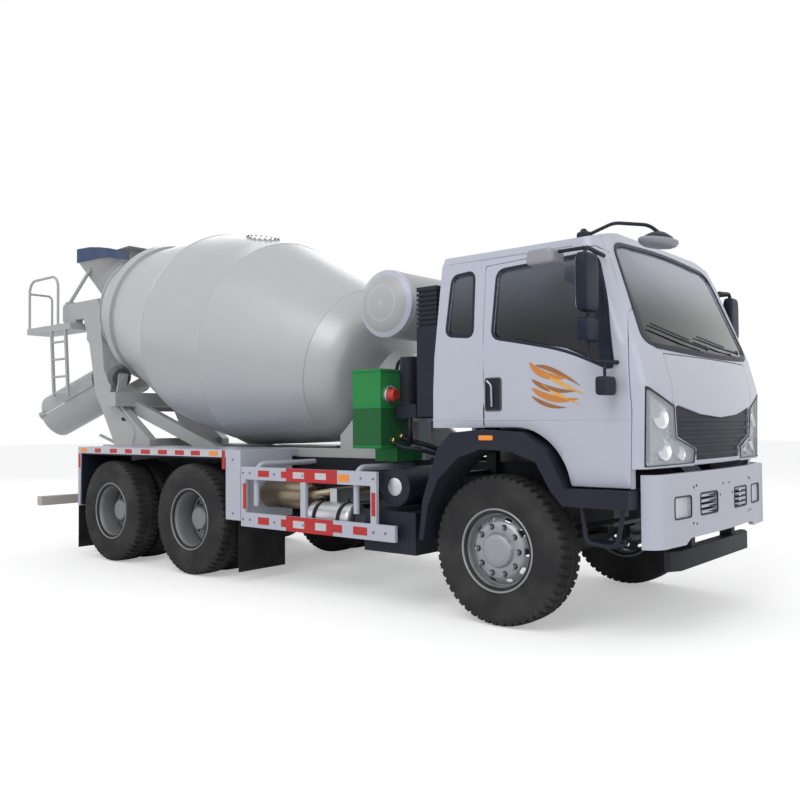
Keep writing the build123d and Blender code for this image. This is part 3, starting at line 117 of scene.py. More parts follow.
class Shader:
    """One material and the nodes that are added to it."""

    def __init__(self, name: str) -> None:
        """Makes an empty node material with a principled surface.

        Args:
            name: material's name.
        """
        self.material = bpy.data.materials.new(f"{name}_look")
        self.material.use_nodes = True
        self.tree = self.material.node_tree
        self.surface = self.tree.nodes["Principled BSDF"]

    def _set(self, socket: bpy.types.NodeSocket, value: object) -> None:
        """Links a Tone into a socket, or writes a plain value."""
        if isinstance(value, Tone):
            self.tree.links.new(value.socket, socket)
        elif isinstance(value, tuple) and len(value) == 3 and socket.type == "RGBA":
            socket.default_value = (*value, 1.0)
        else:
            socket.default_value = value

    def node(self, kind: str, settings: dict, values: dict, output: Union[int, str] = 0) -> Tone:
        """Adds one node.

        Args:
            kind: node type.
            settings: attributes that are set first.
            values: numbers or Tones by socket name or index.
            output: socket that is returned.

        Returns:
            The chosen output.
        """
        made = self.tree.nodes.new(kind)
        for key, value in settings.items():
            setattr(made, key, value)
        for key, value in values.items():
            self._set(made.inputs[key], value)
        return Tone(self, made.outputs[output])

    def place(self) -> Tone:
        """Object coordinates in metres, which are the frame's own."""
        return self.node("ShaderNodeTexCoord", {}, {}, "Object")

    def axis(self, index: int) -> Tone:
        """One coordinate of the place."""
        return self.node("ShaderNodeSeparateXYZ", {}, {0: self.place()}, index)

    def noise(self, scale: float, detail: float, stretch: Triple = (1, 1, 1)) -> Tone:
        """Cloudy noise between 0 and 1 at a number of waves per metre, drawn out along the axes."""
        vector = self.node("ShaderNodeMapping", {}, {"Vector": self.place(), "Scale": stretch})
        return self.node("ShaderNodeTexNoise", {}, {"Vector": vector, "Scale": scale, "Detail": detail})

    def mix(self, factor: object, low: object, high: object) -> Tone:
        """Colour between two colours by a factor."""
        return self.node("ShaderNodeMix", {"data_type": "RGBA"}, {0: factor, 6: low, 7: high}, 2)

    def bump(self, height: Tone, depth: float, strength: float = 1.0) -> Tone:
        """Normal roughened by a height.

        Args:
            height: height from 0 to 1.
            depth: depth in metres at a height of 1.
            strength: share of the effect.

        Returns:
            The bent normal.
        """
        return self.node("ShaderNodeBump", {}, {"Height": height, "Distance": depth, "Strength": strength})

    def dress(self, **values: object) -> bpy.types.Material:
        """Writes the surface's sockets, with underscores for the spaces in their names."""
        for key, value in values.items():
            socket = key.replace("_", " ").title().replace("Ior", "IOR")
            self._set(self.surface.inputs[socket], value)
        return self.material


def shaded(color: Triple, share: float) -> Triple:
    """Colour times a share of its brightness."""
    return tuple(c * share for c in color)


@dataclass(frozen=True)
class Paint:
    """Sprayed paint with a faint orange peel and dust that gathers low down."""

    name: str
    color: Triple
    roughness: float = 0.3
    metallic: float = 0.0
    coat: float = 0.3
    dust: float = 0.10
    dust_top: float = 1.3
    peel: float = 0.00012
    peel_scale: float = 160.0
    gloss: float = 0.5

    def build(self) -> bpy.types.Material:
        """Makes the material: dust lies in clouds low down and in small specks all over."""
        s = Shader(self.name)
        low = 1 - s.axis(2).band(0.3, self.dust_top)
        cloud = s.noise(2.2, 4)
        specks = s.noise(14, 3).band(0.55, 0.8)
        grime = low * cloud * self.dust + specks * (self.dust * 0.18)
        tint = s.mix(s.noise(0.9, 2), shaded(self.color, 0.965), self.color)
        return s.dress(
            base_color=s.mix(grime, tint, ROAD_DUST), metallic=self.metallic,
            roughness=s.noise(5, 3) * 0.08 + (self.roughness - 0.04) + grime * 0.5,
            coat_weight=self.coat, coat_roughness=0.12, specular_ior_level=self.gloss,
            normal=s.bump(s.noise(self.peel_scale, 1), self.peel),
        )


@dataclass(frozen=True)
class Plate:
    """Rolled or cast metal with a grain of its own and rubbed patches."""

    name: str
    color: Triple
    roughness: float = 0.4
    metallic: float = 1.0
    grain: float = 90.0
    stretch: Triple = (1, 1, 1)
    depth: float = 0.0003

    def build(self) -> bpy.types.Material:
        """Makes the material."""
        s = Shader(self.name)
        worn = s.noise(6, 5)
        fine = s.noise(self.grain, 4, self.stretch)
        return s.dress(
            base_color=s.mix(worn, shaded(self.color, 0.82), shaded(self.color, 1.08)),
            metallic=self.metallic, roughness=fine * 0.16 + worn * 0.1 + (self.roughness - 0.12),
            normal=s.bump(fine, self.depth),
        )


@dataclass(frozen=True)
class Molding:
    """Grained plastic or rubber."""

    name: str
    color: Triple
    roughness: float = 0.55
    grain: float = 420.0
    depth: float = 0.0004
    dust: float = 0.12

    def build(self) -> bpy.types.Material:
        """Makes the material."""
        s = Shader(self.name)
        film = s.noise(3.5, 4).band(0.35, 0.8) * self.dust
        return s.dress(
            base_color=s.mix(film, self.color, FINE_DUST),
            roughness=s.noise(8, 3) * 0.12 + (self.roughness - 0.06),
            normal=s.bump(s.noise(self.grain, 2), self.depth), specular_ior_level=0.22,
        )


@dataclass(frozen=True)
class DrumPaint:
    """Silver-grey drum enamel with rolling marks round the drum and faint runs of dried cement."""

    name: str
    color: Triple

    def build(self) -> bpy.types.Material:
        """Makes the material."""
        s = Shader(self.name)
        streaks = s.noise(3.0, 5, (0.6, 6.0, 1.6))
        cloud = s.noise(0.8, 3)
        enamel = s.mix(cloud * 0.6 + streaks * 0.4, shaded(self.color, 0.86), self.color)
        splash = s.noise(24, 6).band(0.62, 0.75) * 0.12
        return s.dress(
            base_color=s.mix(splash, enamel, CEMENT), metallic=0.2, roughness=streaks * 0.14 + 0.28,
            normal=s.bump(s.noise(1.6, 2), 0.006, 0.5), coat_weight=0.15, coat_roughness=0.25,
        )


@dataclass(frozen=True)
class Glass:
    """Pane with a tint that runs over its span of heights from its own colour up to a lighter top, a painted
    reflection of the sky.
    """

    name: str
    color: Triple
    alpha: float
    roughness: float = 0.03
    # colour of the pane's top, a painted reflection of the sky; None gives a lighter copy of the pane's own
    # colour
    reflection_top: Optional[Triple] = None
    span: tuple[float, float] = (1.96, 2.66)

    def build(self) -> bpy.types.Material:
        """Makes the material."""
        s = Shader(self.name)
        # Painted reflection: the pane grows lighter towards the top of its span, standing in for the sky that
        # it mirrors.
        top = self.reflection_top or shaded(self.color, 1.2)
        height = s.axis(2).band(*self.span) + s.noise(1.1, 2) * 0.1 - 0.05
        return s.dress(
            base_color=s.mix(height, self.color, top), roughness=self.roughness, alpha=self.alpha,
            specular_ior_level=0.35, coat_weight=0.1, coat_roughness=0.02,
        )


@dataclass(frozen=True)
class Lens:
    """Moulded lamp lens or reflector with fine ribs."""

    name: str
    color: Triple
    glow: float = 0.0
    ribs: float = 300.0
    coat: float = 0.6

    def build(self) -> bpy.types.Material:
        """Makes the material."""
        s = Shader(self.name)
        return s.dress(
            base_color=s.mix(s.noise(20, 2), self.color, shaded(self.color, 0.85)), roughness=0.16,
            normal=s.bump(s.noise(self.ribs, 1), 0.0004), coat_weight=self.coat, coat_roughness=0.05,
            emission_color=self.color, emission_strength=self.glow,
        )


@dataclass(frozen=True)
class Weave:
    """Seat cloth with a small woven grain."""

    name: str
    color: Triple

    def build(self) -> bpy.types.Material:
        """Makes the material."""
        s = Shader(self.name)
        grain = s.noise(700, 2)
        return s.dress(
            base_color=s.mix(grain, self.color, shaded(self.color, 1.7)), roughness=0.85,
            normal=s.bump(grain, 0.0008), sheen_weight=0.2,
        )


class Finish(Enum):
    """Every finish on the truck, by the record's slot where it has one."""

    CAB_WHITE = Paint("cab_white", (0.52, 0.545, 0.64))
    FRAME_BLACK = Paint(
        "frame_black", (0.014, 0.017, 0.025), roughness=0.5, coat=0.0, dust=0.08, peel=0.0003, gloss=0.2
    )
    TRIM_BLACK = Molding("trim_black", (0.016, 0.020, 0.033), roughness=0.45, dust=0.03)
    GLOSS_BLACK = Paint("gloss_black", (0.012, 0.013, 0.017), roughness=0.12, coat=0.6, dust=0.04)
    FLAP_RUBBER = Molding("flap_rubber", (0.012, 0.012, 0.014), roughness=0.7, dust=0.10)
    CAST_GREY = Plate("cast_grey", (0.17, 0.17, 0.18), roughness=0.6, metallic=0.4)
    MIXER_GREY = Paint("mixer_grey", (0.465, 0.475, 0.485), roughness=0.38, coat=0.15, dust=0.12, peel=0.0003)
    DRUM_SILVER = DrumPaint("drum_silver", (0.54, 0.563, 0.585))
    LIP_BLUE = Molding("lip_blue", (0.060, 0.095, 0.19), roughness=0.6)
    TANK_ALLOY = Plate("tank_alloy", (0.70, 0.71, 0.73), roughness=0.34, stretch=(1, 1, 14))
    EXHAUST_BRONZE = Plate("exhaust_bronze", (0.36, 0.29, 0.21), roughness=0.38)
    TANK_GREEN = Paint("tank_green", (0.028, 0.255, 0.070), roughness=0.5, coat=0.0, dust=0.03, gloss=0.2)
    # Painted shade: this darker green covers the oil tank's lower half and stands in for the shade there.
    TANK_GREEN_DARK = Paint(
        "tank_green_dark", (0.020, 0.125, 0.042), roughness=0.5, coat=0.0, dust=0.03, gloss=0.2
    )
    # The lighter tops of these panes are a painted reflection of the sky.
    CAB_GLASS = Glass("cab_glass", (0.006, 0.007, 0.010), alpha=0.98, reflection_top=(0.13, 0.145, 0.18))
    SCREEN_GLASS = Glass(
        "screen_glass", (0.008, 0.010, 0.013), alpha=0.98, reflection_top=(0.32, 0.35, 0.42), span=(2.08, 2.60)
    )
    LAMP_LENS = Lens("lamp_lens", (0.75, 0.78, 0.82))
    # The glow also falls on the amber tape of the guards and fender strip, which is no lamp: painted light
    # there.
    AMBER = Lens("amber_lens", (0.85, 0.27, 0.02), glow=0.15)
    RED_LENS = Lens("red_lens", (0.55, 0.02, 0.015), glow=0.08)
    SEAT_FABRIC = Weave("seat_fabric", (0.05, 0.052, 0.06))
    TYRE_BLACK = Molding(
        "tyre_black", (0.026, 0.026, 0.028), roughness=0.72, grain=260, depth=0.0006, dust=0.13
    )
    RIM_SILVER = Paint(
        "rim_silver", (0.36, 0.375, 0.41), roughness=0.36, metallic=0.5, dust=0.25, dust_top=1.0
    )
    RIM_GREY = Paint(
        "rim_grey", (0.25, 0.26, 0.275), roughness=0.45, metallic=0.3, dust=0.35, dust_top=1.0
    )
    NUT_STEEL = Plate("nut_steel", (0.42, 0.43, 0.45), roughness=0.4)
    CLEAR_LENS = Glass("clear_lens", (0.80, 0.84, 0.88), alpha=0.22, roughness=0.04)
    SEAL_BLACK = Molding("seal_black", (0.014, 0.020, 0.040), roughness=0.4, dust=0.02)
    MIRROR_NAVY = Molding("mirror_navy", (0.009, 0.014, 0.032), roughness=0.42, dust=0.0)
    MIRROR_GREY = Paint("mirror_grey", (0.30, 0.31, 0.34), roughness=0.35, dust=0.05)
    LAMP_SHELL = Plate("lamp_shell", (0.44, 0.48, 0.53), roughness=0.28, metallic=0.6)
    ORANGE_INK = Paint("orange_ink", (0.62, 0.23, 0.03), roughness=0.35, dust=0.04)
    BROWN_INK = Paint("brown_ink", (0.33, 0.13, 0.035), roughness=0.35, dust=0.04)
    AMBER_INK = Paint("amber_ink", (0.78, 0.42, 0.08), roughness=0.35, dust=0.04)
    CAP_RED = Paint("cap_red", (0.60, 0.04, 0.03), roughness=0.3, dust=0.04)
    BRASS = Plate("brass", (0.62, 0.45, 0.18), roughness=0.32)
    BEAM_GREY = Paint("beam_grey", (0.56, 0.53, 0.50), roughness=0.5, dust=0.25)
    CHROME = Plate("chrome", (0.82, 0.83, 0.85), roughness=0.16, depth=0.0)
    # The glow of the red tape is painted light: the tape is no lamp.
    TAPE_RED = Lens("tape_red", (0.56, 0.012, 0.012), glow=0.03, ribs=900, coat=0.1)
    TAPE_WHITE = Lens("tape_white", (0.66, 0.67, 0.72), ribs=900, coat=0.1)
    MIRROR_GLASS = Plate("mirror_glass", (0.75, 0.79, 0.82), roughness=0.15, depth=0.0)

    @property
    def material(self) -> bpy.types.Material:
        """The built material, made once and named apart from the CAD's plain one for the same slot."""
        found = bpy.data.materials.get(f"{self.value.name}_look")
        return found or self.value.build()


# Mesh work


def grid_faces(rows: int, columns: int, ring_rows: bool, ring_columns: bool) -> Array:
    """Quads of a grid of points, each joining a point to the next in its row and its column.

    Args:
        rows: number of rows.
        columns: number of points in a row.
        ring_rows: whether the last row joins the first.
        ring_columns: whether each row closes on itself.

    Returns:
        Indices, four to a quad.
    """
    i = np.arange(rows if ring_rows else rows - 1)
    j = np.arange(columns if ring_columns else columns - 1)
    a, b = np.meshgrid(i, j, indexing="ij")
    below = (a + 1) % rows
    beside = (b + 1) % columns
    here, under = a * columns, below * columns
    return np.stack([here + b, here + beside, under + beside, under + b], -1).reshape(-1, 4)


def rectangle(first: Sequence[float], second: Sequence[float]) -> list[tuple[float, float]]:
    """Corners of a rectangle between two spans."""
    (a, b), (c, d) = first, second
    return [(a, c), (b, c), (b, d), (a, d)]


def rounded(corners: Points, radius: Union[float, Sequence[float]], steps: int = 5) -> Array:
    """Closed outline with each corner cut by a quadratic curve that is tangent to both of its sides.

    Args:
        corners: corner points, two or three numbers each.
        radius: distance from a corner to the curve's ends, one for all or one each.
        steps: points on each curve.

    Returns:
        The outline's points.
    """
    p = np.asarray(corners, float)
    r = np.broadcast_to(np.asarray(radius, float), (len(p),))[:, None]
    back = np.roll(p, 1, 0) - p
    ahead = np.roll(p, -1, 0) - p
    back_length = np.linalg.norm(back, axis=1, keepdims=True)
    ahead_length = np.linalg.norm(ahead, axis=1, keepdims=True)
    start = p + back / back_length * np.minimum(r, back_length * 0.49)
    end = p + ahead / ahead_length * np.minimum(r, ahead_length * 0.49)
    t = np.linspace(0, 1, steps)[None, :, None]
    curve = (1 - t) ** 2 * start[:, None] + 2 * t * (1 - t) * p[:, None] + t**2 * end[:, None]
    return curve.reshape(-1, p.shape[1])


def divided(outline: Array, length: float) -> Array:
    """Closed outline with points added along each side at most a length apart."""
    after = np.roll(outline, -1, 0)
    counts = np.maximum(1, np.ceil(np.linalg.norm(after - outline, axis=1) / length)).astype(int)
    start = np.repeat(outline, counts, 0)
    run = np.repeat(after - outline, counts, 0)
    step = np.arange(counts.sum()) - np.repeat(np.cumsum(counts) - counts, counts)
    return start + run * (step / np.repeat(counts, counts))[:, None]


def smooth_path(points: Points, per_run: int = 8) -> Array:
    """Open path through points: on each run a cubic whose end slopes are half the span of its neighbours."""
    p = np.asarray(points, float)
    padded = np.vstack([2 * p[0] - p[1], p, 2 * p[-1] - p[-2]])
    a, b, c, d = (padded[i:len(padded) - 3 + i, None] for i in range(4))
    t = np.linspace(0, 1, per_run, endpoint=False)[None, :, None]
    body = 0.5 * (2 * b + (c - a) * t + (2 * a - 5 * b + 4 * c - d) * t**2 + (3 * b - a - 3 * c + d) * t**3)
    return np.vstack([body.reshape(-1, 3), p[-1]])


def bent_path(points: Points, bend: float, steps: int = 6) -> Array:
    """Open path of straight runs, each inner corner cut by a tangent quadratic curve."""
    p = np.asarray(points, float)
    curves = rounded(p, bend, steps).reshape(len(p), steps, 3)
    return np.vstack([p[:1], curves[1:-1].reshape(-1, 3), p[-1:]])


def unit(v: Array) -> Array:
    """Vectors scaled to a length of one."""
    return v / np.maximum(np.linalg.norm(v, axis=-1, keepdims=True), 1e-12)


class Form:
    """Vertices and faces gathered for one piece, in metres from the front axle."""

    def __init__(self) -> None:
        """Starts empty."""
        self.points: list[Array] = []
        self.faces: list[list[int]] = []
        self.count = 0

    def add(self, points: Array, faces: Iterable) -> "Form":
        """Adds vertices and the faces on them.

        Args:
            points: vertices, three numbers each.
            faces: indices into these vertices.

        Returns:
            This form.
        """
        self.points.append(np.asarray(points, float).reshape(-1, 3))
        self.faces += [[int(i) + self.count for i in face] for face in faces]
        self.count += len(self.points[-1])
        return self

    def mirrored(self) -> "Form":
        """This form and its twin across the truck's middle."""
        points = np.vstack(self.points)
        faces = [list(face) for face in self.faces]
        return self.add(points * (1, -1, 1), [face[::-1] for face in faces])

    def box(self, x: Sequence[float], y: Sequence[float], z: Sequence[float]) -> "Form":
        """Box between a low and a high value on each axis."""
        xs, ys, zs = (sorted(v) for v in (x, y, z))
        corners = np.stack(np.meshgrid(xs, ys, zs, indexing="ij"), -1).reshape(-1, 3)
        return self.add(
            corners, [(0, 1, 3, 2), (4, 6, 7, 5), (0, 4, 5, 1), (2, 3, 7, 6), (0, 2, 6, 4), (1, 5, 7, 3)]
        )

    def slab(self, outline: Array, axis: int, span: Sequence[float]) -> "Form":
        """Flat outline drawn out along an axis: two caps and a band of quads between them.

        Args:
            outline: points with the two coordinates other than the axis, in x, y, z order.
            axis: 0, 1 or 2.
            span: the two places of the caps on the axis.

        Returns:
            This form.
        """
        n = len(outline)
        ends = [np.insert(np.asarray(outline, float), axis, place, axis=1) for place in span]
        band = grid_faces(2, n, False, True)
        return self.add(np.vstack(ends), [range(n)[::-1], range(n, 2 * n), *band])

    def turned(self, profile: Points, centre: Sequence[float], axis: Sequence[float],
               segments: int = 48, closed: bool = False) -> "Form":
        """Profile of (along, radius) turned about an axis: centre + along * axis + radius * spoke(angle).

        Args:
            profile: points along and out from the axis.
            centre: point on the axis.
            axis: direction of the axis.
            segments: spokes around.
            closed: whether the profile closes on itself.

        Returns:
            This form.
        """
        p = np.asarray(profile, float)
        a = unit(np.asarray(axis, float))
        helper = np.array([0, 0, 1.0]) if abs(a[2]) < 0.9 else np.array([1.0, 0, 0])
        first = unit(np.cross(helper, a))
        second = np.cross(a, first)
        angle = np.radians(np.linspace(0, 360, segments, endpoint=False))
        spokes = np.cos(angle)[:, None] * first + np.sin(angle)[:, None] * second
        points = np.asarray(centre, float) + p[:, None, :1] * a + p[:, None, 1:] * spokes[None]
        return self.add(points, grid_faces(len(p), segments, closed, True))

    def hoops(self, places: Sequence[float], profile: Points, centre: Sequence[float],
              axis: Sequence[float], segments: int = 48) -> "Form":
        """Closed ring of one profile at each place along an axis."""
        for place in places:
            self.turned([(place + along, r) for along, r in profile], centre, axis, segments, True)
        return self

    def tube(self, path: Array, radius: Union[float, Array], segments: int = 10, closed: bool = False,
             flat: float = 1.0) -> "Form":
        """Round bar along a path: each point carries a ring square to the path's direction there.

        Args:
            path: points of the path.
            radius: radius, one for all or one each.
            segments: points in a ring.
            closed: whether the path closes on itself.
            flat: width over height of the ring.

        Returns:
            This form.
        """
        path = np.asarray(path, float)
        run = np.roll(path, -1, 0) - np.roll(path, 1, 0) if closed else np.gradient(path, axis=0)
        run = unit(run)
        # The rings are lined up with the axis that the path least follows.
        helper = np.eye(3)[np.argmin(np.abs(run).max(0))]
        first = unit(np.cross(run, helper))
        second = np.cross(run, first)
        angle = np.linspace(0, 2 * np.pi, segments, endpoint=False)[None, :, None]
        size = np.broadcast_to(np.asarray(radius, float), (len(path),))[:, None, None]
        ring = np.cos(angle) * first[:, None] + np.sin(angle) * second[:, None] * flat
        rings = path[:, None] + size * ring
        n = len(path)
        faces = [list(f) for f in grid_faces(n, segments, closed, True)]
        if not closed:
            faces += [list(range(segments))[::-1], list(range((n - 1) * segments, n * segments))]
        return self.add(rings, faces)

    def bolts(self, places: Array, axis: Sequence[float], radius: float, height: float,
              sides: int = 6) -> "Form":
        """Bolt heads: a prism on each place, with a smaller, chamfered top.

        Args:
            places: seats of the heads.
            axis: direction that they point in.
            radius: radius over the corners.
            height: height of a head.
            sides: 6 for a hexagon, more for a round head.

        Returns:
            This form.
        """
        profile = ((-0.002, radius), (height * 0.8, radius), (height, radius * 0.82), (height, 0.0))
        for place in np.asarray(places, float).reshape(-1, 3):
            self.turned(profile, place, axis, sides)
        return self

    def piece(self, name: str, body: str, finish: Finish, bevel: float = 0.0, sharp: float = 35.0,
              replaces: Sequence[str] = ()) -> bpy.types.Object:
        """Makes the piece in the frame.

        Args:
            name: piece's name.
            body: CAD body that it moves with.
            finish: its finish.
            bevel: width of rounded edges in metres, 0 for none.
            sharp: angle in degrees over which an edge stays sharp.
            replaces: CAD nodes that it stands for.

        Returns:
            The object.
        """
        mesh = bpy.data.meshes.new(name)
        mesh.from_pydata((np.vstack(self.points) + ORIGIN).tolist(), [], self.faces)
        work = bmesh.new()
        work.from_mesh(mesh)
        bmesh.ops.remove_doubles(work, verts=work.verts, dist=1e-5)
        bmesh.ops.recalc_face_normals(work, faces=work.faces)
        work.to_mesh(mesh)
        work.free()
        mesh.polygons.foreach_set("use_smooth", np.ones(len(mesh.polygons), bool))
        mesh.set_sharp_from_angle(angle=math.radians(sharp))
        mesh.materials.append(finish.material)
        made = bpy.data.objects.new(name, mesh)
        bpy.context.scene.collection.objects.link(made)
        if bevel:
            edge = made.modifiers.new("edges", "BEVEL")
            edge.width = bevel
            edge.segments = 2
            edge.limit_method = "ANGLE"
            edge.angle_limit = math.radians(30)
            edge.harden_normals = True
        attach(made, body)
        if replaces:
            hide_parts(*replaces)
        LOG.info("piece %s rides on %s, %d faces", name, body, len(mesh.polygons))
        return made


# Studio


@dataclass(frozen=True)
class Camera:
    """The photograph's view: its place from the front axle in metres, its turns and its lens."""

    place: tuple[float, float, float] = (3.262, -6.050, 1.400)
    yaw: float = 0.6967
    pitch: float = -0.0292
    roll: float = -0.0077
    lens_mm: float = 38.04
    sensor_mm: float = 36.0

    def build(self) -> None:
        """Makes the camera, which looks along its forward axis with the photograph's roll."""
        level = np.array([math.cos(self.yaw), math.sin(self.yaw), 0.0])
        ahead = np.array([-math.sin(self.yaw), math.cos(self.yaw), 0.0])
        forward = ahead * math.cos(self.pitch) - np.array([0.0, 0.0, math.sin(self.pitch)])
        above = np.cross(level, forward)
        right = level * math.cos(self.roll) + above * math.sin(self.roll)
        upward = above * math.cos(self.roll) - level * math.sin(self.roll)
        data = bpy.data.cameras.new("photo_view")
        data.lens = self.lens_mm
        data.sensor_width = self.sensor_mm
        data.clip_end = 200
        camera = bpy.data.objects.new("photo_view", data)
        matrix = np.eye(4)
        matrix[:3] = np.stack([right, upward, -forward, np.array(self.place) + ORIGIN], -1)
        camera.matrix_world = Matrix(matrix.tolist())
        bpy.context.scene.collection.objects.link(camera)
        bpy.context.scene.camera = camera


@dataclass(frozen=True)
class Studio:
    """Pale floor, pale world and three soft lamps."""

    floor_half: float = 60.0
    floor_glow: float = 0.36
    world_light: float = 0.56
    world_color: tuple[float, ...] = (0.985, 0.99, 1.0, 1.0)
    lamps: tuple = (
        # name, place, aim, size, watts
        ("key", (4.0, -9.0, 9.0), (0.0, 0.0, 1.2), 7.0, 400.0),
        ("fill", (13.0, -2.0, 5.0), (3.0, 0.0, 1.2), 6.0, 150.0),
        ("back", (-9.0, 8.0, 8.0), (-1.0, 0.0, 1.5), 8.0, 300.0),
    )

    def build(self) -> None:
        """Makes the floor, the world and the lamps."""
        span = (-self.floor_half, self.floor_half)
        mesh = bpy.data.meshes.new("floor")
        mesh.from_pydata([(x, y, 0) for x, y in rectangle(span, span)], [], [(0, 1, 2, 3)])
        floor = bpy.data.objects.new("floor", mesh)
        bpy.context.scene.collection.objects.link(floor)
        floor.data.materials.append(self._floor_material())
        self._world()
        for name, place, aim, size, watts in self.lamps:
            data = bpy.data.lights.new(name, "AREA")
            data.size = size
            data.energy = watts
            lamp = bpy.data.objects.new(name, data)
            lamp.location = place
            lamp.rotation_euler = (Vector(aim) - Vector(place)).to_track_quat("-Z", "Y").to_euler()
            bpy.context.scene.collection.objects.link(lamp)

    def _world(self) -> None:
        """World that lights softly and is plain white to the camera, to mirrors and through glass."""
        world = bpy.data.worlds.new("studio")
        bpy.context.scene.world = world
        world.use_nodes = True
        tree = world.node_tree
        background = tree.nodes["Background"]
        seen = tree.nodes.new("ShaderNodeLightPath")
        white = tree.nodes.new("ShaderNodeBackground")
        white.inputs[0].default_value = (1, 1, 1, 1)
        background.inputs[0].default_value = self.world_color
        background.inputs[1].default_value = self.world_light
        either = tree.nodes.new("ShaderNodeMixShader")
        shown = seen.outputs["Is Camera Ray"]
        for ray in ("Is Glossy Ray", "Is Transmission Ray"):
            most = tree.nodes.new("ShaderNodeMath")
            most.operation = "MAXIMUM"
            tree.links.new(shown, most.inputs[0])
            tree.links.new(seen.outputs[ray], most.inputs[1])
            shown = most.outputs[0]
        tree.links.new(shown, either.inputs[0])
        tree.links.new(background.outputs[0], either.inputs[1])
        tree.links.new(white.outputs[0], either.inputs[2])
        tree.links.new(either.outputs[0], tree.nodes["World Output"].inputs[0])

    def _floor_material(self) -> bpy.types.Material:
        """White floor that keeps the truck's shadow and adds its own white to the camera."""
        s = Shader("floor_white")
        seen = s.node("ShaderNodeLightPath", {}, {}, "Is Camera Ray")
        return s.dress(
            base_color=s.mix(s.noise(0.3, 2), (0.92,) * 3, (0.95,) * 3), roughness=0.9,
            emission_color=s.mix(seen, (0.0,) * 3, (self.floor_glow,) * 3), emission_strength=1.0,
        )


# Cab


class View(Enum):
    """Drawing that an outline on the cab is taken from."""

    SIDE = "side"
    FRONT = "front"


@dataclass(frozen=True)
class CabForm:
    """The cab's outer face: plan outlines at a few heights, joined by straight runs, under a crowned roof."""

    # height, rear x, nose x at the middle, nose x at the corner, half width
    sections: tuple = (
        (0.990, -0.540, 1.150, 1.085, 1.130),
        (1.640, -0.535, 1.165, 1.095, 1.130),
        (1.895, -0.525, 1.095, 1.030, 1.125),
        (2.560, -0.490, 0.790, 0.775, 1.065),
        (2.790, -0.430, 0.690, 0.680, 1.000),
    )
    corner: float = 0.110
    roof_top: float = 2.750
    roof_apex: float = 0.150
    roof_across: float = 4.400
    roof_along: float = 2.900
    # how far each stretch of the outline runs: front half, corner, side, back half
    runs: tuple = (1.02, 0.173, 1.52, 1.13)

    @property
    def marks(self) -> Array:
        """Distances round the outline at which its stretches begin and end."""
        return np.concatenate([[0], np.cumsum(self.runs)])

    def plan(self, z: Array) -> tuple[Array, ...]:
        """Rear, nose, nose at the corner and half width at a height, on straight runs between sections."""
        table = np.array(self.sections)
        return tuple(np.interp(z, table[:, 0], table[:, column]) for column in range(1, 5))

    def _skin(self, s: Array, z: Array) -> Array:
        """Point on the outer face.

        The distance s along the outline from the front's middle is turned into a share of its stretch:
        the front is a shallow parabola, the corner a quarter circle, and the side and back are straight.

        Args:
            s: distance round the outline, positive to the left.
            z: height.

        Returns:
            Points.
        """
        rear, nose, corner_x, half = self.plan(z)
        u = np.interp(np.abs(s), self.marks, np.arange(5.0))
        side = np.sign(s) + (s == 0)
        inner = half - self.corner
        share = np.clip(u, 0, 1)
        x = nose - (nose - corner_x) * share**2
        y = inner * share
        angle = np.clip(u - 1, 0, 1) * np.pi / 2
        x = x + self.corner * (np.cos(angle) - 1)
        y = y + self.corner * np.sin(angle)
        x = x + (rear - x) * np.clip(u - 2, 0, 1)
        y = y * (1 - np.clip(u - 3, 0, 1))
        return np.stack([x, y * side, np.broadcast_to(z, np.shape(x))], -1)

    def at(self, s: Array, z: Array, out: Union[float, Array] = 0.0) -> Array:
        """Point on the outer face, moved outwards along the face's normal.

        The normal is the cross product of the changes over a small step round and up.

        Args:
            s: distance round the outline.
            z: height.
            out: distance outwards.

        Returns:
            Points.
        """
        step = 0.004
        around = self._skin(s + step, z) - self._skin(s - step, z)
        up = self._skin(s, z + step) - self._skin(s, z - step)
        normal = unit(np.cross(around, up))
        return self._skin(s, z) + normal * np.asarray(out)[..., None]

    def roof(self, x: Array, y: Array) -> Array:
        """Height of the roof: the lower of two shallow arcs, one across and one along."""
        across = self.roof_top - self.roof_across + np.sqrt(self.roof_across**2 - y**2)
        along = self.roof_top - self.roof_along + np.sqrt(self.roof_along**2 - (x - self.roof_apex) ** 2)
        return np.minimum(across, along)

    def eaves(self, s: Array) -> Array:
        """Height at which the walls meet the roof, by settling a guess twelve times."""
        z = np.full(np.shape(s), 2.6)
        for _ in range(12):
            place = self._skin(s, z)
            z = self.roof(place[..., 0], place[..., 1])
        return z

    def from_side(self, x: Array, z: Array) -> Array:
        """Distance round to places (x, z) seen on the right-hand side, where it is negative."""
        rear, _, corner_x, _ = self.plan(z)
        start = corner_x - self.corner
        turn = np.arccos(np.clip((x - start) / self.corner, 0, 1)) / (np.pi / 2)
        u = np.where(x > start, 1 + turn, 2 + (start - x) / (start - rear))
        return -np.interp(u, np.arange(5.0), self.marks)

    def from_front(self, y: Array, z: Array) -> Array:
        """Distance round to places (y, z) seen from the front."""
        inner = self.plan(z)[3] - self.corner
        turn = np.arcsin(np.clip((np.abs(y) - inner) / self.corner, 0, 1)) / (np.pi / 2)
        u = np.where(np.abs(y) <= inner, np.abs(y) / inner, 1 + turn)
        return np.interp(u, np.arange(5.0), self.marks) * np.sign(y)

    def unrolled(self, outline: Array, view: View) -> Array:
        """Turns an outline from a drawing into distances round the cab and heights.

        Args:
            outline: points (x, z) from the right-hand side, or (y, z) from the front.
            view: the drawing.

        Returns:
            Points (distance round, height); the right-hand side is negative.
        """
        across, z = divided(np.asarray(outline, float), 0.04).T
        distance = self.from_side if view is View.SIDE else self.from_front
        return np.stack([distance(across, z), z], -1)


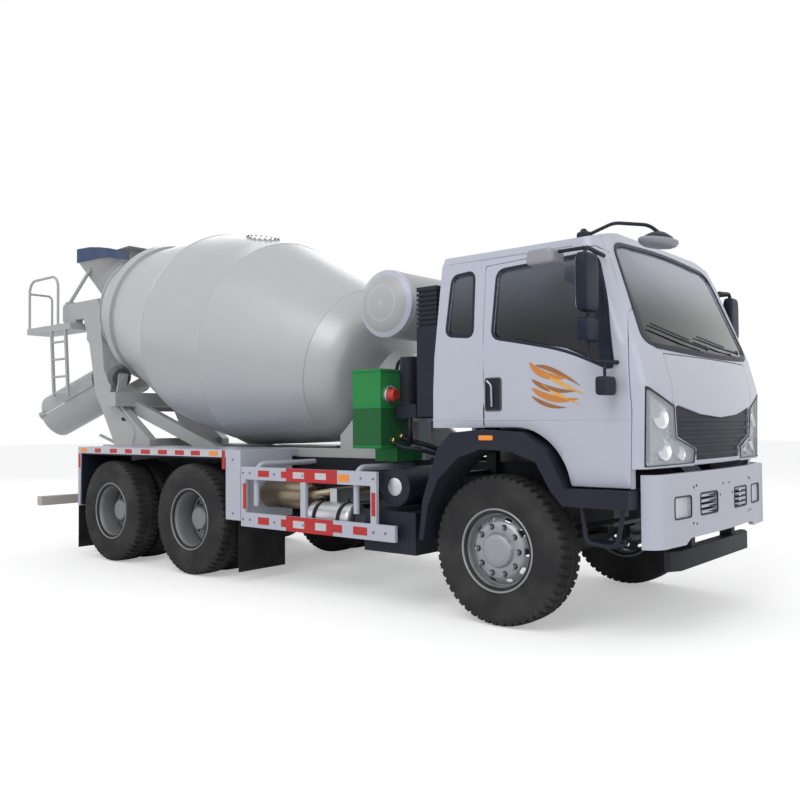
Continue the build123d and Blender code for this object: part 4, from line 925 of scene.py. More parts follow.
def reach_by_angle(outline: Array, centre: Array, angles: Array) -> Array:
    """Distance from a centre to an outline along each angle: the ray's farthest crossing with a side.

    Args:
        outline: closed outline in two coordinates.
        centre: point inside it.
        angles: directions in radians.

    Returns:
        Distances.
    """
    a = outline - centre
    b = np.roll(a, -1, 0) - a
    ray = np.stack([np.cos(angles), np.sin(angles)], -1)[:, None]
    cross = ray[..., 0] * b[None, :, 1] - ray[..., 1] * b[None, :, 0]
    cross = np.where(np.abs(cross) < 1e-12, 1e-12, cross)
    along = (a[None, :, 0] * b[None, :, 1] - a[None, :, 1] * b[None, :, 0]) / cross
    share = (a[None, :, 0] * ray[..., 1] - a[None, :, 1] * ray[..., 0]) / cross
    hit = (share >= -1e-9) & (share <= 1 + 1e-9) & (along > 0)
    return np.where(hit, along, 0).max(1)


@dataclass
class Skin:
    """A pressed panel, pane or frame that lies on the cab's face, between an outer and an inner outline."""

    form: CabForm
    lift: float = 0.003
    depth: float = 0.003
    roll: float = 0.004
    rows: int = 9
    rays: int = 150

    def build(self, outer: Array, inner: Optional[Array] = None,
              centre: Optional[Sequence[float]] = None) -> Form:
        """Lays rings of points between the two outlines, on rays from a centre, and lifts them on the face.

        The edges are rounded: the outermost ring drops to the depth, the next is halfway up, and the next
        is drawn in by the roll at full height. A second layer at the depth closes the back.

        Args:
            outer: outline (distance round, height).
            inner: outline of its opening, or None.
            centre: centre of the rays.

        Returns:
            The panel.
        """
        solid = inner is None
        outlines = [outer] if solid else [outer, inner]
        middle = np.asarray(outlines[-1].mean(0) if centre is None else centre, float)
        marks = [np.arctan2(*(outline - middle).T[::-1]) for outline in outlines]
        even = np.linspace(-np.pi, np.pi, self.rays, False)
        angles = np.unique(np.round(np.concatenate([even, *marks]), 4))
        far = reach_by_angle(outer, middle, angles)
        near = np.zeros_like(far) if solid else reach_by_angle(inner, middle, angles)
        shares = np.linspace(0, 1, self.rows)
        eased = self.lift - self.roll * 0.4
        # shift along the ray, share of the way from the inner outline to the outer, height over the face
        rows = [(0.0, 1.0, -self.depth), (0.0, 1.0, eased), (-self.roll, 1.0, self.lift)]
        rows += [(0.0, share, self.lift) for share in (shares[-2::-1] if solid else shares[-2:0:-1])]
        if not solid:
            rows += [(self.roll, 0.0, self.lift), (0.0, 0.0, eased), (0.0, 0.0, -self.depth)]
        rows += [(0.0, share, -self.depth) for share in (shares[:-1] if solid else shares[1:-1])]
        shift, share, out = (np.array(column)[:, None] for column in zip(*rows))
        reach = near + (far - near) * share + shift
        s = middle[0] + reach * np.cos(angles)
        z = middle[1] + reach * np.sin(angles)
        points = self.form.at(s, z, np.broadcast_to(out, s.shape))
        return Form().add(points, grid_faces(len(rows), len(angles), True, True))


@dataclass
class Cab:
    """The cab's painted skins, panes and seals, laid on the CAD cab."""

    form: CabForm = field(default_factory=CabForm)
    gap: float = 0.005
    arch_z: float = 1.374
    # outlines in side view, (x, z)
    door: tuple = (
        (-0.100, 1.374), (0.270, 1.374), (0.455, 1.265), (0.560, 1.110), (0.590, 0.990), (0.998, 0.990),
        (1.012, 1.479), (0.984, 1.914), (0.884, 2.457), (0.740, 2.555), (-0.100, 2.520),
    )
    door_window: tuple = (
        (-0.015, 2.010), (0.190, 1.970), (0.560, 1.890), (0.884, 1.745), (0.826, 2.190), (0.745, 2.495),
        (0.008, 2.465),
    )
    quarter_window: tuple = ((-0.413, 2.057), (-0.200, 2.034), (-0.203, 2.480), (-0.381, 2.465))
    # outlines in front view, (y, z)
    windscreen: tuple = (
        (-0.955, 1.950), (-0.880, 1.915), (0.0, 1.885), (0.880, 1.915), (0.955, 1.950), (0.845, 2.555),
        (0.760, 2.590), (0.0, 2.625), (-0.760, 2.590), (-0.845, 2.555),
    )
    rear_window: tuple = ((-0.450, 0.450), (1.980, 2.360))

    def build(self) -> None:
        """Builds every piece of the cab."""
        self._doors()
        self._walls()

    def _side(self, corners: Sequence, radius: Union[float, Sequence[float]]) -> Array:
        """Rounded outline from the side view, unrolled."""
        return self.form.unrolled(rounded(corners, radius), View.SIDE)

    def _front(self, corners: Sequence, radius: Union[float, Sequence[float]]) -> Array:
        """Rounded outline from the front view, unrolled."""
        return self.form.unrolled(rounded(corners, radius), View.FRONT)

    def _doors(self) -> None:
        """Door skins, each with its window's seal and pane."""
        outer = self._side(self.door, (0.02, 0.12, 0.1, 0.08, 0.02, 0.02, 0.1, 0.1, 0.05, 0.06, 0.05))
        middle = outer.mean(0)
        arm = outer - middle
        outer = middle + arm * (1 - self.gap / np.linalg.norm(arm, axis=1, keepdims=True))
        window = self._side(self.door_window, (0.05, 0.1, 0.15, 0.06, 0.1, 0.07, 0.06))
        centre = (window[:, 0].mean(), 2.15)
        for side, mark in SIDES:
            body = f"door_{side}"
            flip = np.array([mark, 1.0])
            start = (centre[0] * mark, centre[1])
            Skin(self.form).build(outer * flip, window * flip, start).piece(
                f"door_skin_{side}", body, Finish.CAB_WHITE
            )
            frame_edge = self._grown(window, 0.022)
            Skin(self.form, lift=0.005, rows=3).build(frame_edge * flip, window * flip, start).piece(
                f"door_window_frame_{side}", body, Finish.SEAL_BLACK
            )
            Skin(self.form, lift=-0.010, depth=0.014, roll=0.001).build(window * flip, None, start).piece(
                f"door_pane_{side}", body, Finish.CAB_GLASS, replaces=(f"door_glass_{side}",)
            )

    @staticmethod
    def _grown(outline: Array, amount: float) -> Array:
        """Outline moved outwards along its own normals, which are its directions turned a quarter."""
        run = unit(np.roll(outline, -1, 0) - np.roll(outline, 1, 0))
        area = (outline[:, 0] * np.roll(outline[:, 1], -1) - np.roll(outline[:, 0], -1) * outline[:, 1]).sum()
        normal = np.stack([run[:, 1], -run[:, 0]], -1) * np.sign(area)
        return outline + normal * amount

    def _walls(self) -> None:
        """Skins behind the doors with their windows, the windscreen and the rear pane."""
        quarter = self._side(self.quarter_window, 0.045)
        screen = self._front(self.windscreen, (0.04, 0.1, 0.5, 0.1, 0.04, 0.06, 0.06, 0.5, 0.06, 0.06))
        door_rear = self._side([(-0.1, z) for z in (1.374, 1.9, 2.2, 2.52)], 0.001)[:, 0].mean()
        front_end = abs(door_rear) + self.gap
        rear_end = sum(self.form.runs[:3]) - 0.002
        s = np.linspace(front_end, rear_end, 12)
        top = np.stack([s, self.form.eaves(s)], -1)
        wall = np.vstack([[(rear_end, self.arch_z), (front_end, self.arch_z)], top]) * (-1, 1)
        seal = self._grown(quarter, 0.024)
        for side, mark in SIDES:
            flip = np.array([mark, 1.0])
            Skin(self.form).build(wall * flip, quarter * flip).piece(
                f"quarter_panel_{side}", "cab", Finish.CAB_WHITE
            )
            Skin(self.form, lift=0.006, rows=3).build(seal * flip, quarter * flip).piece(
                f"quarter_frame_{side}", "cab", Finish.SEAL_BLACK
            )
            Skin(self.form, lift=-0.010, depth=0.014, roll=0.001).build(quarter * flip).piece(
                f"quarter_pane_{side}", "cab", Finish.CAB_GLASS
            )
        Skin(self.form, lift=-0.008, depth=0.014, roll=0.001, rows=14).build(screen).piece(
            "windscreen_pane", "cab", Finish.SCREEN_GLASS, replaces=("cab_glazing",)
        )
        Skin(self.form, lift=0.005, rows=4, rays=220).build(self._grown(screen, 0.03), screen).piece(
            "windscreen_frame", "cab", Finish.SEAL_BLACK
        )
        self._rear_pane()

    def _rear_pane(self) -> None:
        """Pane and seal of the window in the back wall, laid on the wall's slope by its height."""
        table = np.array(self.form.sections)
        outline = rounded(rectangle(*self.rear_window), 0.06, 6)
        middle = outline.mean(0)
        # share of the way out from the middle, depth under the face
        pane = ((0.0, 0.008), (0.7, 0.008), (1.0, 0.008), (1.0, 0.014), (0.0, 0.014))
        seal = ((0.95, 0.010), (0.96, -0.004), (1.03, -0.005), (1.05, 0.004))
        for name, finish, profile, closed in (
            ("rear_pane", Finish.CAB_GLASS, pane, False), ("rear_seal", Finish.SEAL_BLACK, seal, True),
        ):
            rows = []
            for share, deep in profile:
                y, z = (middle + (outline - middle) * share).T
                rows.append(np.stack([np.interp(z, table[:, 0], table[:, 1]) + deep, y, z], -1))
            faces = grid_faces(len(rows), len(outline), closed, True)
            Form().add(np.array(rows), faces).piece(name, "cab", finish)


# Wheels


@dataclass(frozen=True)
class Tyre:
    """Tyre with ringed sidewalls and a block tread: a closed section carried round the axle."""

    radius: float = 0.524
    pitches: int = 52
    # ends of the block and of the groove behind it, in shares of a pitch
    columns: tuple[float, ...] = (0.0, 0.60, 0.66, 0.94)
    # across from the middle, radius, depth of the cross grooves
    section: tuple = (
        (0.0, 0.524, 0.0), (0.028, 0.524, 0.0), (0.029, 0.511, 0.0), (0.035, 0.511, 0.0),
        (0.036, 0.5238, 0.006), (0.056, 0.5232, 0.012), (0.074, 0.5226, 0.012), (0.075, 0.509, 0.0),
        (0.082, 0.509, 0.0), (0.083, 0.522, 0.014), (0.102, 0.520, 0.015), (0.119, 0.5155, 0.015),
        (0.1265, 0.506, 0.012), (0.1285, 0.494, 0.005), (0.132, 0.480, 0.0), (0.1345, 0.467, 0.0),
        (0.1368, 0.462, 0.0), (0.1358, 0.455, 0.0), (0.138, 0.436, 0.0), (0.139, 0.405, 0.0),
        (0.138, 0.372, 0.0), (0.1365, 0.350, 0.0), (0.1375, 0.346, 0.0), (0.1355, 0.340, 0.0),
        (0.132, 0.312, 0.0), (0.129, 0.300, 0.0), (0.131, 0.297, 0.0), (0.1275, 0.290, 0.0),
        (0.124, 0.262, 0.0), (0.108, 0.256, 0.0), (0.100, 0.300, 0.0), (0.105, 0.420, 0.0),
        (0.085, 0.485, 0.0),
    )

    def build(self, form: Form, x: float, y: float) -> Form:
        """Adds one tyre.

        Each pitch has four columns, of which two lie in a groove; a groove's column drops by the section's
        depth, and the grooves of the two shoulders stand half a pitch apart.

        Args:
            form: form that it is added to.
            x: axle's place along the truck.
            y: middle of the tyre.

        Returns:
            The form.
        """
        half = np.array(self.section)
        loop = np.vstack([half, half[::-1][:-1] * (-1, 1, 1)])
        step = 2 * np.pi / self.pitches
        turns = np.arange(self.pitches)[:, None] * step + np.array(self.columns) * step
        turns = turns.reshape(-1)
        cut = np.tile([0.0, 0.0, 1.0, 1.0], self.pitches)
        lean = np.where(loop[:, 0] < 0, step / 2, 0.0) + loop[:, 0] * 0.35
        angle = turns[None] + lean[:, None]
        reach = loop[:, 1:2] - loop[:, 2:3] * cut[None]
        across = np.broadcast_to(y + loop[:, :1], reach.shape)
        points = np.stack([x + reach * np.sin(angle), across, self.radius + reach * np.cos(angle)], -1)
        return form.add(points, grid_faces(len(loop), len(turns), True, True))


@dataclass(frozen=True)
class Rim:
    """Steel disc wheel: barrel, flanges, a dished disc with oval hand holes, nuts and a hub cap."""

    hub_z: float = 0.525
    holes: int = 10
    nut_ring: float = 0.1675
    hole_ring: float = 0.217
    hole_half: tuple[float, float] = (0.028, 0.0115)
    band: tuple[float, float] = (0.192, 0.243)

    def _at(self, x: float, y: float, out: float, station: Array, radius: Array, angle: Array) -> Array:
        """Point at a station outwards, a radius and an angle from the wheel's middle."""
        return np.stack(
            [x + radius * np.sin(angle), y + out * station, self.hub_z + radius * np.cos(angle)], -1
        )

    def barrel(self, form: Form, x: float, y: float, out: float) -> Form:
        """Adds the barrel with its two rolled flanges."""
        profile = (
            (0.122, 0.291), (0.129, 0.292), (0.133, 0.288), (0.132, 0.281), (0.124, 0.276), (0.114, 0.270),
            (0.100, 0.256), (0.060, 0.249), (0.020, 0.246), (-0.040, 0.246), (-0.100, 0.254), (-0.116, 0.268),
            (-0.130, 0.279), (-0.132, 0.288), (-0.127, 0.292), (-0.121, 0.290), (-0.104, 0.264), (0.0, 0.258),
            (0.104, 0.264), (0.118, 0.278),
        )
        return form.turned(profile, (x, y, self.hub_z), (0, out, 0), 72, True)

    def disc(self, form: Form, x: float, y: float, out: float, dish: Sequence[Sequence[float]]) -> Form:
        """Adds the disc's holed band, one sector to a hole.

        Rays from a hole's middle run to the hole's edge and on to the sector's, and each point is laid on the
        dish at its radius. The rows go along the front, through the hole and back behind.

        Args:
            form: form that it is added to.
            x: axle's place along the truck.
            y: middle of the wheel.
            out: 1 or -1, the side that the wheel shows.
            dish: (radius, station) of the disc's face.

        Returns:
            The form.
        """
        table = np.array(sorted(dish))
        half = math.pi / self.holes * self.hole_ring
        sector = np.array(rectangle((-half, half), [value - self.hole_ring for value in self.band]))
        a, b = self.hole_half
        oval = rounded(rectangle((-a, a), (-b, b)), 0.011, 4)
        corner = np.arctan2(sector[:, 1], sector[:, 0])
        rays = np.unique(np.round(np.concatenate([np.linspace(-np.pi, np.pi, 28, False), corner]), 5))
        far = reach_by_angle(sector, np.zeros(2), rays)
        near = reach_by_angle(oval, np.zeros(2), rays)
        back = -0.010
        path = ((1, 0), (0.5, 0), (0.08, 0), (0, -0.003), (0, back), (0.5, back), (1, back))
        for index in range(self.holes):
            rows = []
            for share, drop in path:
                reach = near + (far - near) * share
                radius = self.hole_ring + reach * np.sin(rays)
                angle = reach * np.cos(rays) / self.hole_ring + (index + 0.5) * 2 * math.pi / self.holes
                station = np.interp(radius, table[:, 0], table[:, 1]) + drop
                rows.append(self._at(x, y, out, station, radius, angle))
            form.add(np.array(rows), grid_faces(len(rows), len(rays), False, True))
        return form

    def nuts(self, x: float, y: float, out: float, station: float) -> Array:
        """Seats of the nuts on their ring."""
        angle = (np.arange(self.holes) + 0.5) * 2 * np.pi / self.holes
        ring = np.full(self.holes, self.nut_ring)
        return self._at(x, y, out, np.full(self.holes, station), ring, angle)


@dataclass(frozen=True)
class Wheels:
    """The ten tyres on their rims, single in front and twin at the back."""

    tyre: Tyre = Tyre()
    rim: Rim = Rim()
    # name, axle's x, middles of the tyres from the truck's middle with the outer one first
    axles: tuple = (("front", 0.0, (1.0,)), ("middle", -3.4, (1.07, 0.75)), ("rear", -4.75, (1.07, 0.75)))
    # dishes as (radius, station), hubs as (station, radius)
    front_dish: tuple = ((0.192, 0.099), (0.200, 0.094), (0.222, 0.074), (0.243, 0.052))
    front_hub: tuple = (
        (0.090, 0.185), (0.092, 0.192), (0.099, 0.192), (0.103, 0.186), (0.103, 0.135), (0.101, 0.124),
        (0.106, 0.120), (0.126, 0.112), (0.131, 0.106), (0.132, 0.070), (0.132, 0.0),
    )
    rear_dish: tuple = ((0.192, -0.112), (0.243, -0.100))
    rear_hub: tuple = (
        (-0.124, 0.185), (-0.122, 0.192), (-0.112, 0.192), (-0.114, 0.186), (-0.114, 0.125), (-0.100, 0.118),
        (0.010, 0.110), (0.022, 0.100), (0.024, 0.0),
    )

    def build(self) -> None:
        """Builds the wheels of both sides."""
        for place, x, middles in self.axles:
            for side, mark in SIDES:
                self._wheel(f"{place}_{side}", x, [-mark * y for y in middles], -mark, len(middles) == 1)

    def _wheel(self, name: str, x: float, middles: Sequence[float], out: float, front: bool) -> None:
        """Builds one wheel, single or twin, whose outer tyre comes first."""
        body = f"wheel_{name}"
        tyres = Form()
        steel = Form()
        for y in middles:
            self.tyre.build(tyres, x, y)
            self.rim.barrel(steel, x, y, out)
        y = middles[0]
        dish, hub = (self.front_dish, self.front_hub) if front else (self.rear_dish, self.rear_hub)
        self.rim.disc(steel, x, y, out, dish)
        steel.turned(hub, (x, y, self.rim.hub_z), (0, out, 0), 60)
        edge = dish[-1][1]
        weld = ((edge, 0.243), (edge, 0.2505), (edge - 0.010, 0.2505), (edge - 0.010, 0.243))
        steel.turned(weld, (x, y, self.rim.hub_z), (0, out, 0), 60, True)
        if not front:
            back = ((-0.150, 0.244), (-0.150, 0.110), (-0.200, 0.110), (-0.200, 0.244))
            steel.turned(back, (x, y, self.rim.hub_z), (0, out, 0), 48, True)
        paint = Finish.RIM_SILVER if front else Finish.RIM_GREY
        tyres.piece(f"tread_{name}", body, Finish.TYRE_BLACK, sharp=28, replaces=(f"tyre_{name}",))
        steel.piece(f"steel_rim_{name}", body, paint, sharp=40, replaces=(f"rim_{name}",))
        seats = self.rim.nuts(x, y, out, hub[3][0])
        # Painted shade: a thin black disc under each nut stands in for the shade in its seat.
        wells = Form().bolts(seats, (0, out, 0), 0.0215, 0.003, 16)
        wells.piece(f"nut_wells_{name}", body, Finish.TRIM_BLACK)
        Form().bolts(seats, (0, out, 0), 0.0165, 0.026, 6).bolts(seats, (0, out, 0), 0.0105, 0.034, 10).piece(
            f"nuts_{name}", body, Finish.NUT_STEEL, sharp=30
        )


# Drum


@dataclass(frozen=True)
class Drum:
    """Drum shell with weld seams, track ring, mouth flange, hatch and spiral blades."""

    start: tuple[float, float] = (-1.821, 1.848)
    tilt: float = math.radians(13.93)
    # (station, radius) from the front end to the mouth, and back inside
    outer: tuple = (
        (0.130, 0.0), (0.133, 0.150), (0.140, 0.300), (0.156, 0.430), (0.186, 0.530), (0.236, 0.608),
        (0.330, 0.675), (0.420, 0.715), (0.486, 0.744), (0.491, 0.752), (0.499, 0.755), (0.505, 0.752),
        (1.000, 0.895), (1.500, 1.034), (1.642, 1.071), (1.647, 1.0765), (1.654, 1.0770), (1.660, 1.075),
        (1.900, 1.0845), (2.150, 1.088), (2.400, 1.080), (2.645, 1.0620), (2.650, 1.0665), (2.657, 1.0650),
        (2.663, 1.0580), (2.900, 0.997), (3.300, 0.893), (3.646, 0.803), (3.654, 0.804), (3.654, 0.840),
        (3.774, 0.840), (3.774, 0.776), (3.782, 0.773), (4.000, 0.711), (4.139, 0.671), (4.139, 0.683),
        (4.159, 0.683),
    )
    inner: tuple = (
        (4.159, 0.660), (3.700, 0.785), (2.660, 1.050), (2.150, 1.079), (1.655, 1.064), (0.505, 0.741),
        (0.245, 0.595), (0.160, 0.420), (0.142, 0.0),
    )
    # station and degrees from straight down of the hatch's middle, and its half length
    hatch: tuple[float, float] = (2.02, 171.0)
    hatch_size: float = 0.21
    # first and last station, turns and depth of the blades
    blades: tuple[float, float, float, float] = (0.6, 3.9, 3.0, 0.28)

    def at(self, station: Array, radius: Array, turn: Array) -> Array:
        """Point at a station, a radius off the axis and an angle from straight down, positive to the left."""
        down = radius * np.cos(turn)
        x = self.start[0] - station * math.cos(self.tilt) - down * math.sin(self.tilt)
        z = self.start[1] + station * math.sin(self.tilt) - down * math.cos(self.tilt)
        return np.stack([x, radius * np.sin(turn), z], -1)

    def build(self) -> None:
        """Builds the drum."""
        profile = np.array(self.outer + self.inner)
        turn = np.linspace(0, 2 * np.pi, 144, endpoint=False)
        points = self.at(profile[:, :1], profile[:, 1:], turn[None])
        shell = Form().add(points, grid_faces(len(profile), 144, False, True))
        flange = np.array([(0.060, 0.0), (0.060, 0.150), (0.131, 0.150), (0.131, 0.0)])
        shell.add(self.at(flange[:, :1], flange[:, 1:], turn[None, ::3]), grid_faces(4, 48, False, True))
        shell.piece("drum_enamel", "drum", Finish.DRUM_SILVER, sharp=28, replaces=("drum_shell",))
        self._hatch()
        self._blades()

    def _radius(self, station: Array) -> Array:
        """Outer radius at a station."""
        table = np.array(self.outer)[:-7]
        return np.interp(station, table[:, 0], table[:, 1])

    def _hatch(self) -> None:
        """Oval cover with a ring of bolts, which follows the drum's curve."""
        middle, turn = self.hatch[0], -math.radians(self.hatch[1])
        angle = np.linspace(0, 2 * np.pi, 40, endpoint=False)
        edge = ((1.0, -0.004), (1.0, 0.006), (0.97, 0.009), (0.86, 0.009), (0.5, 0.011), (0.0, 0.011))
        rows = []
        for share, lift in edge:
            station = middle + self.hatch_size * share * np.cos(angle)
            radius = self._radius(station)
            across = self.hatch_size * 0.75 * share * np.sin(angle) / radius
            rows.append(self.at(station, radius + lift, turn + across))
        cover = Form().add(np.array(rows), grid_faces(len(rows), 40, False, True))
        cover.piece("hatch", "drum", Finish.DRUM_SILVER)
        bolts = np.linspace(0, 2 * np.pi, 18, endpoint=False)
        station = middle + self.hatch_size * 0.9 * np.cos(bolts)
        radius = self._radius(station) + 0.008
        seats = self.at(station, radius, turn + self.hatch_size * 0.68 * np.sin(bolts) / radius)
        inner, outer = self.at(np.zeros(2), np.array([0.0, 1.0]), np.full(2, turn))
        Form().bolts(seats, outer - inner, 0.011, 0.011).piece("hatch_bolts", "drum", Finish.CAST_GREY)

    def _blades(self) -> None:
        """Two spiral blades inside: a strip from the wall inwards that turns as it goes along the drum."""
        form = Form()
        table = np.array(self.inner)[::-1]
        start, end, turns, depth = self.blades
        station = np.linspace(start, end, 150)
        wall = np.interp(station, table[:, 0], table[:, 1]) - 0.003
        tip = wall - np.minimum(depth, wall - 0.30)
        for first in (0.0, np.pi):
            turn = first + (station - start) / (end - start) * turns * 2 * np.pi
            edges = ((0.0, wall), (0.0, tip), (0.012, tip), (0.012, wall))
            rows = [self.at(station + thick, radius, turn) for thick, radius in edges]
            form.add(np.array(rows), grid_faces(4, len(station), True, False))
        form.piece("spiral_blades", "drum", Finish.CAST_GREY)


# Front face


@dataclass(frozen=True)
class Bumper:
    """Fog lamps, slatted vents and fixings in the bumper."""

    nose: float = 1.19
    bow: float = 0.045
    straight: float = 0.900
    fog_y: tuple[float, float] = (0.600, 0.830)
    fog_z: tuple[float, float] = (0.785, 0.925)
    vent_y: tuple[float, float] = (0.170, 0.460)
    vent_z: tuple[float, float] = (0.785, 0.930)
    holes: tuple = ((0.52, 0.985), (0.56, 0.975), (0.52, 0.735), (0.57, 0.742), (0.06, 0.975), (0.12, 0.900))

    def face(self, y: Array) -> Array:
        """Front of the bumper at a place across: a circle through its nose and its two shoulders."""
        radius = (self.straight**2 + self.bow**2) / (2 * self.bow)
        return self.nose - radius + np.sqrt(radius**2 - np.asarray(y) ** 2)

    def _plate(self, y: Sequence[float], z: Sequence[float], lift: float, thick: float, bend: float) -> Form:
        """Rounded plate that follows the face."""
        outline = rounded(rectangle(y, z), bend, 5)
        middle = outline.mean(0)
        back = lift - thick
        rows = []
        for share, out in ((0, lift), (0.6, lift), (0.96, lift), (1, lift - 0.003), (1, back), (0, back)):
            across, up = (middle + (outline - middle) * share).T
            rows.append(np.stack([self.face(across) + out, across, up], -1))
        return Form().add(np.array(rows), grid_faces(len(rows), len(outline), False, True))

    def build(self) -> None:
        """Builds the lamps, slats and fixings of both sides."""
        (y0, y1), (z0, z1) = self.fog_y, self.fog_z
        lens = self._plate((y0 + 0.006, y1 - 0.006), (z0 + 0.006, z1 - 0.006), -0.007, 0.030, 0.02)
        lens.mirrored().piece("fog_lens", "chassis", Finish.CLEAR_LENS)
        bowl = Form()
        profile = ((0.0, 0.0), (0.006, 0.020), (0.022, 0.042), (0.034, 0.050), (0.030, 0.052), (0.0, 0.040))
        for y in (0.655, 0.765):
            bowl.turned(profile, (float(self.face(y)) - 0.064, y, 0.855), (1, 0, 0), 28)
        bowl.mirrored().piece("fog_bowls", "chassis", Finish.CHROME)
        rim = Form()
        for spans in ((self.fog_y, self.fog_z), (self.vent_y, self.vent_z)):
            y, z = divided(rounded(rectangle(*spans), 0.022, 5), 0.05).T
            rim.tube(np.stack([self.face(y), y, z], -1), 0.005, 6, True)
        rim.mirrored().piece("bumper_rings", "chassis", Finish.TRIM_BLACK)
        slats = Form()
        (y0, y1), (z0, z1) = self.vent_y, self.vent_z
        y = np.linspace(y0 - 0.004, y1 + 0.004, 9)
        # depth behind the face, height over the slat's middle
        profile = ((0.010, -0.008), (0.008, 0.000), (0.036, 0.013), (0.048, 0.011), (0.048, -0.009))
        for index in range(4):
            z = z0 + (z1 - z0) * (index + 0.5) / 4
            rows = [np.stack([self.face(y) - deep, y, np.full(9, z + up)], -1) for deep, up in profile]
            slats.add(np.array(rows), grid_faces(5, 9, True, False))
        back = self._plate((y0 - 0.002, y1 + 0.002), (z0 - 0.002, z1 + 0.002), -0.050, 0.006, 0.01)
        slats.add(np.vstack(back.points), back.faces)
        slats.mirrored().piece("vent_slats", "chassis", Finish.TRIM_BLACK, bevel=0.001)
        places = np.array([(float(self.face(y)) - 0.001, y, z) for y, z in self.holes])
        Form().bolts(np.vstack([places, places * (1, -1, 1)]), (1, 0, 0), 0.009, 0.003, 10).piece(
            "bumper_screws", "chassis", Finish.TRIM_BLACK
        )


# Cab fittings


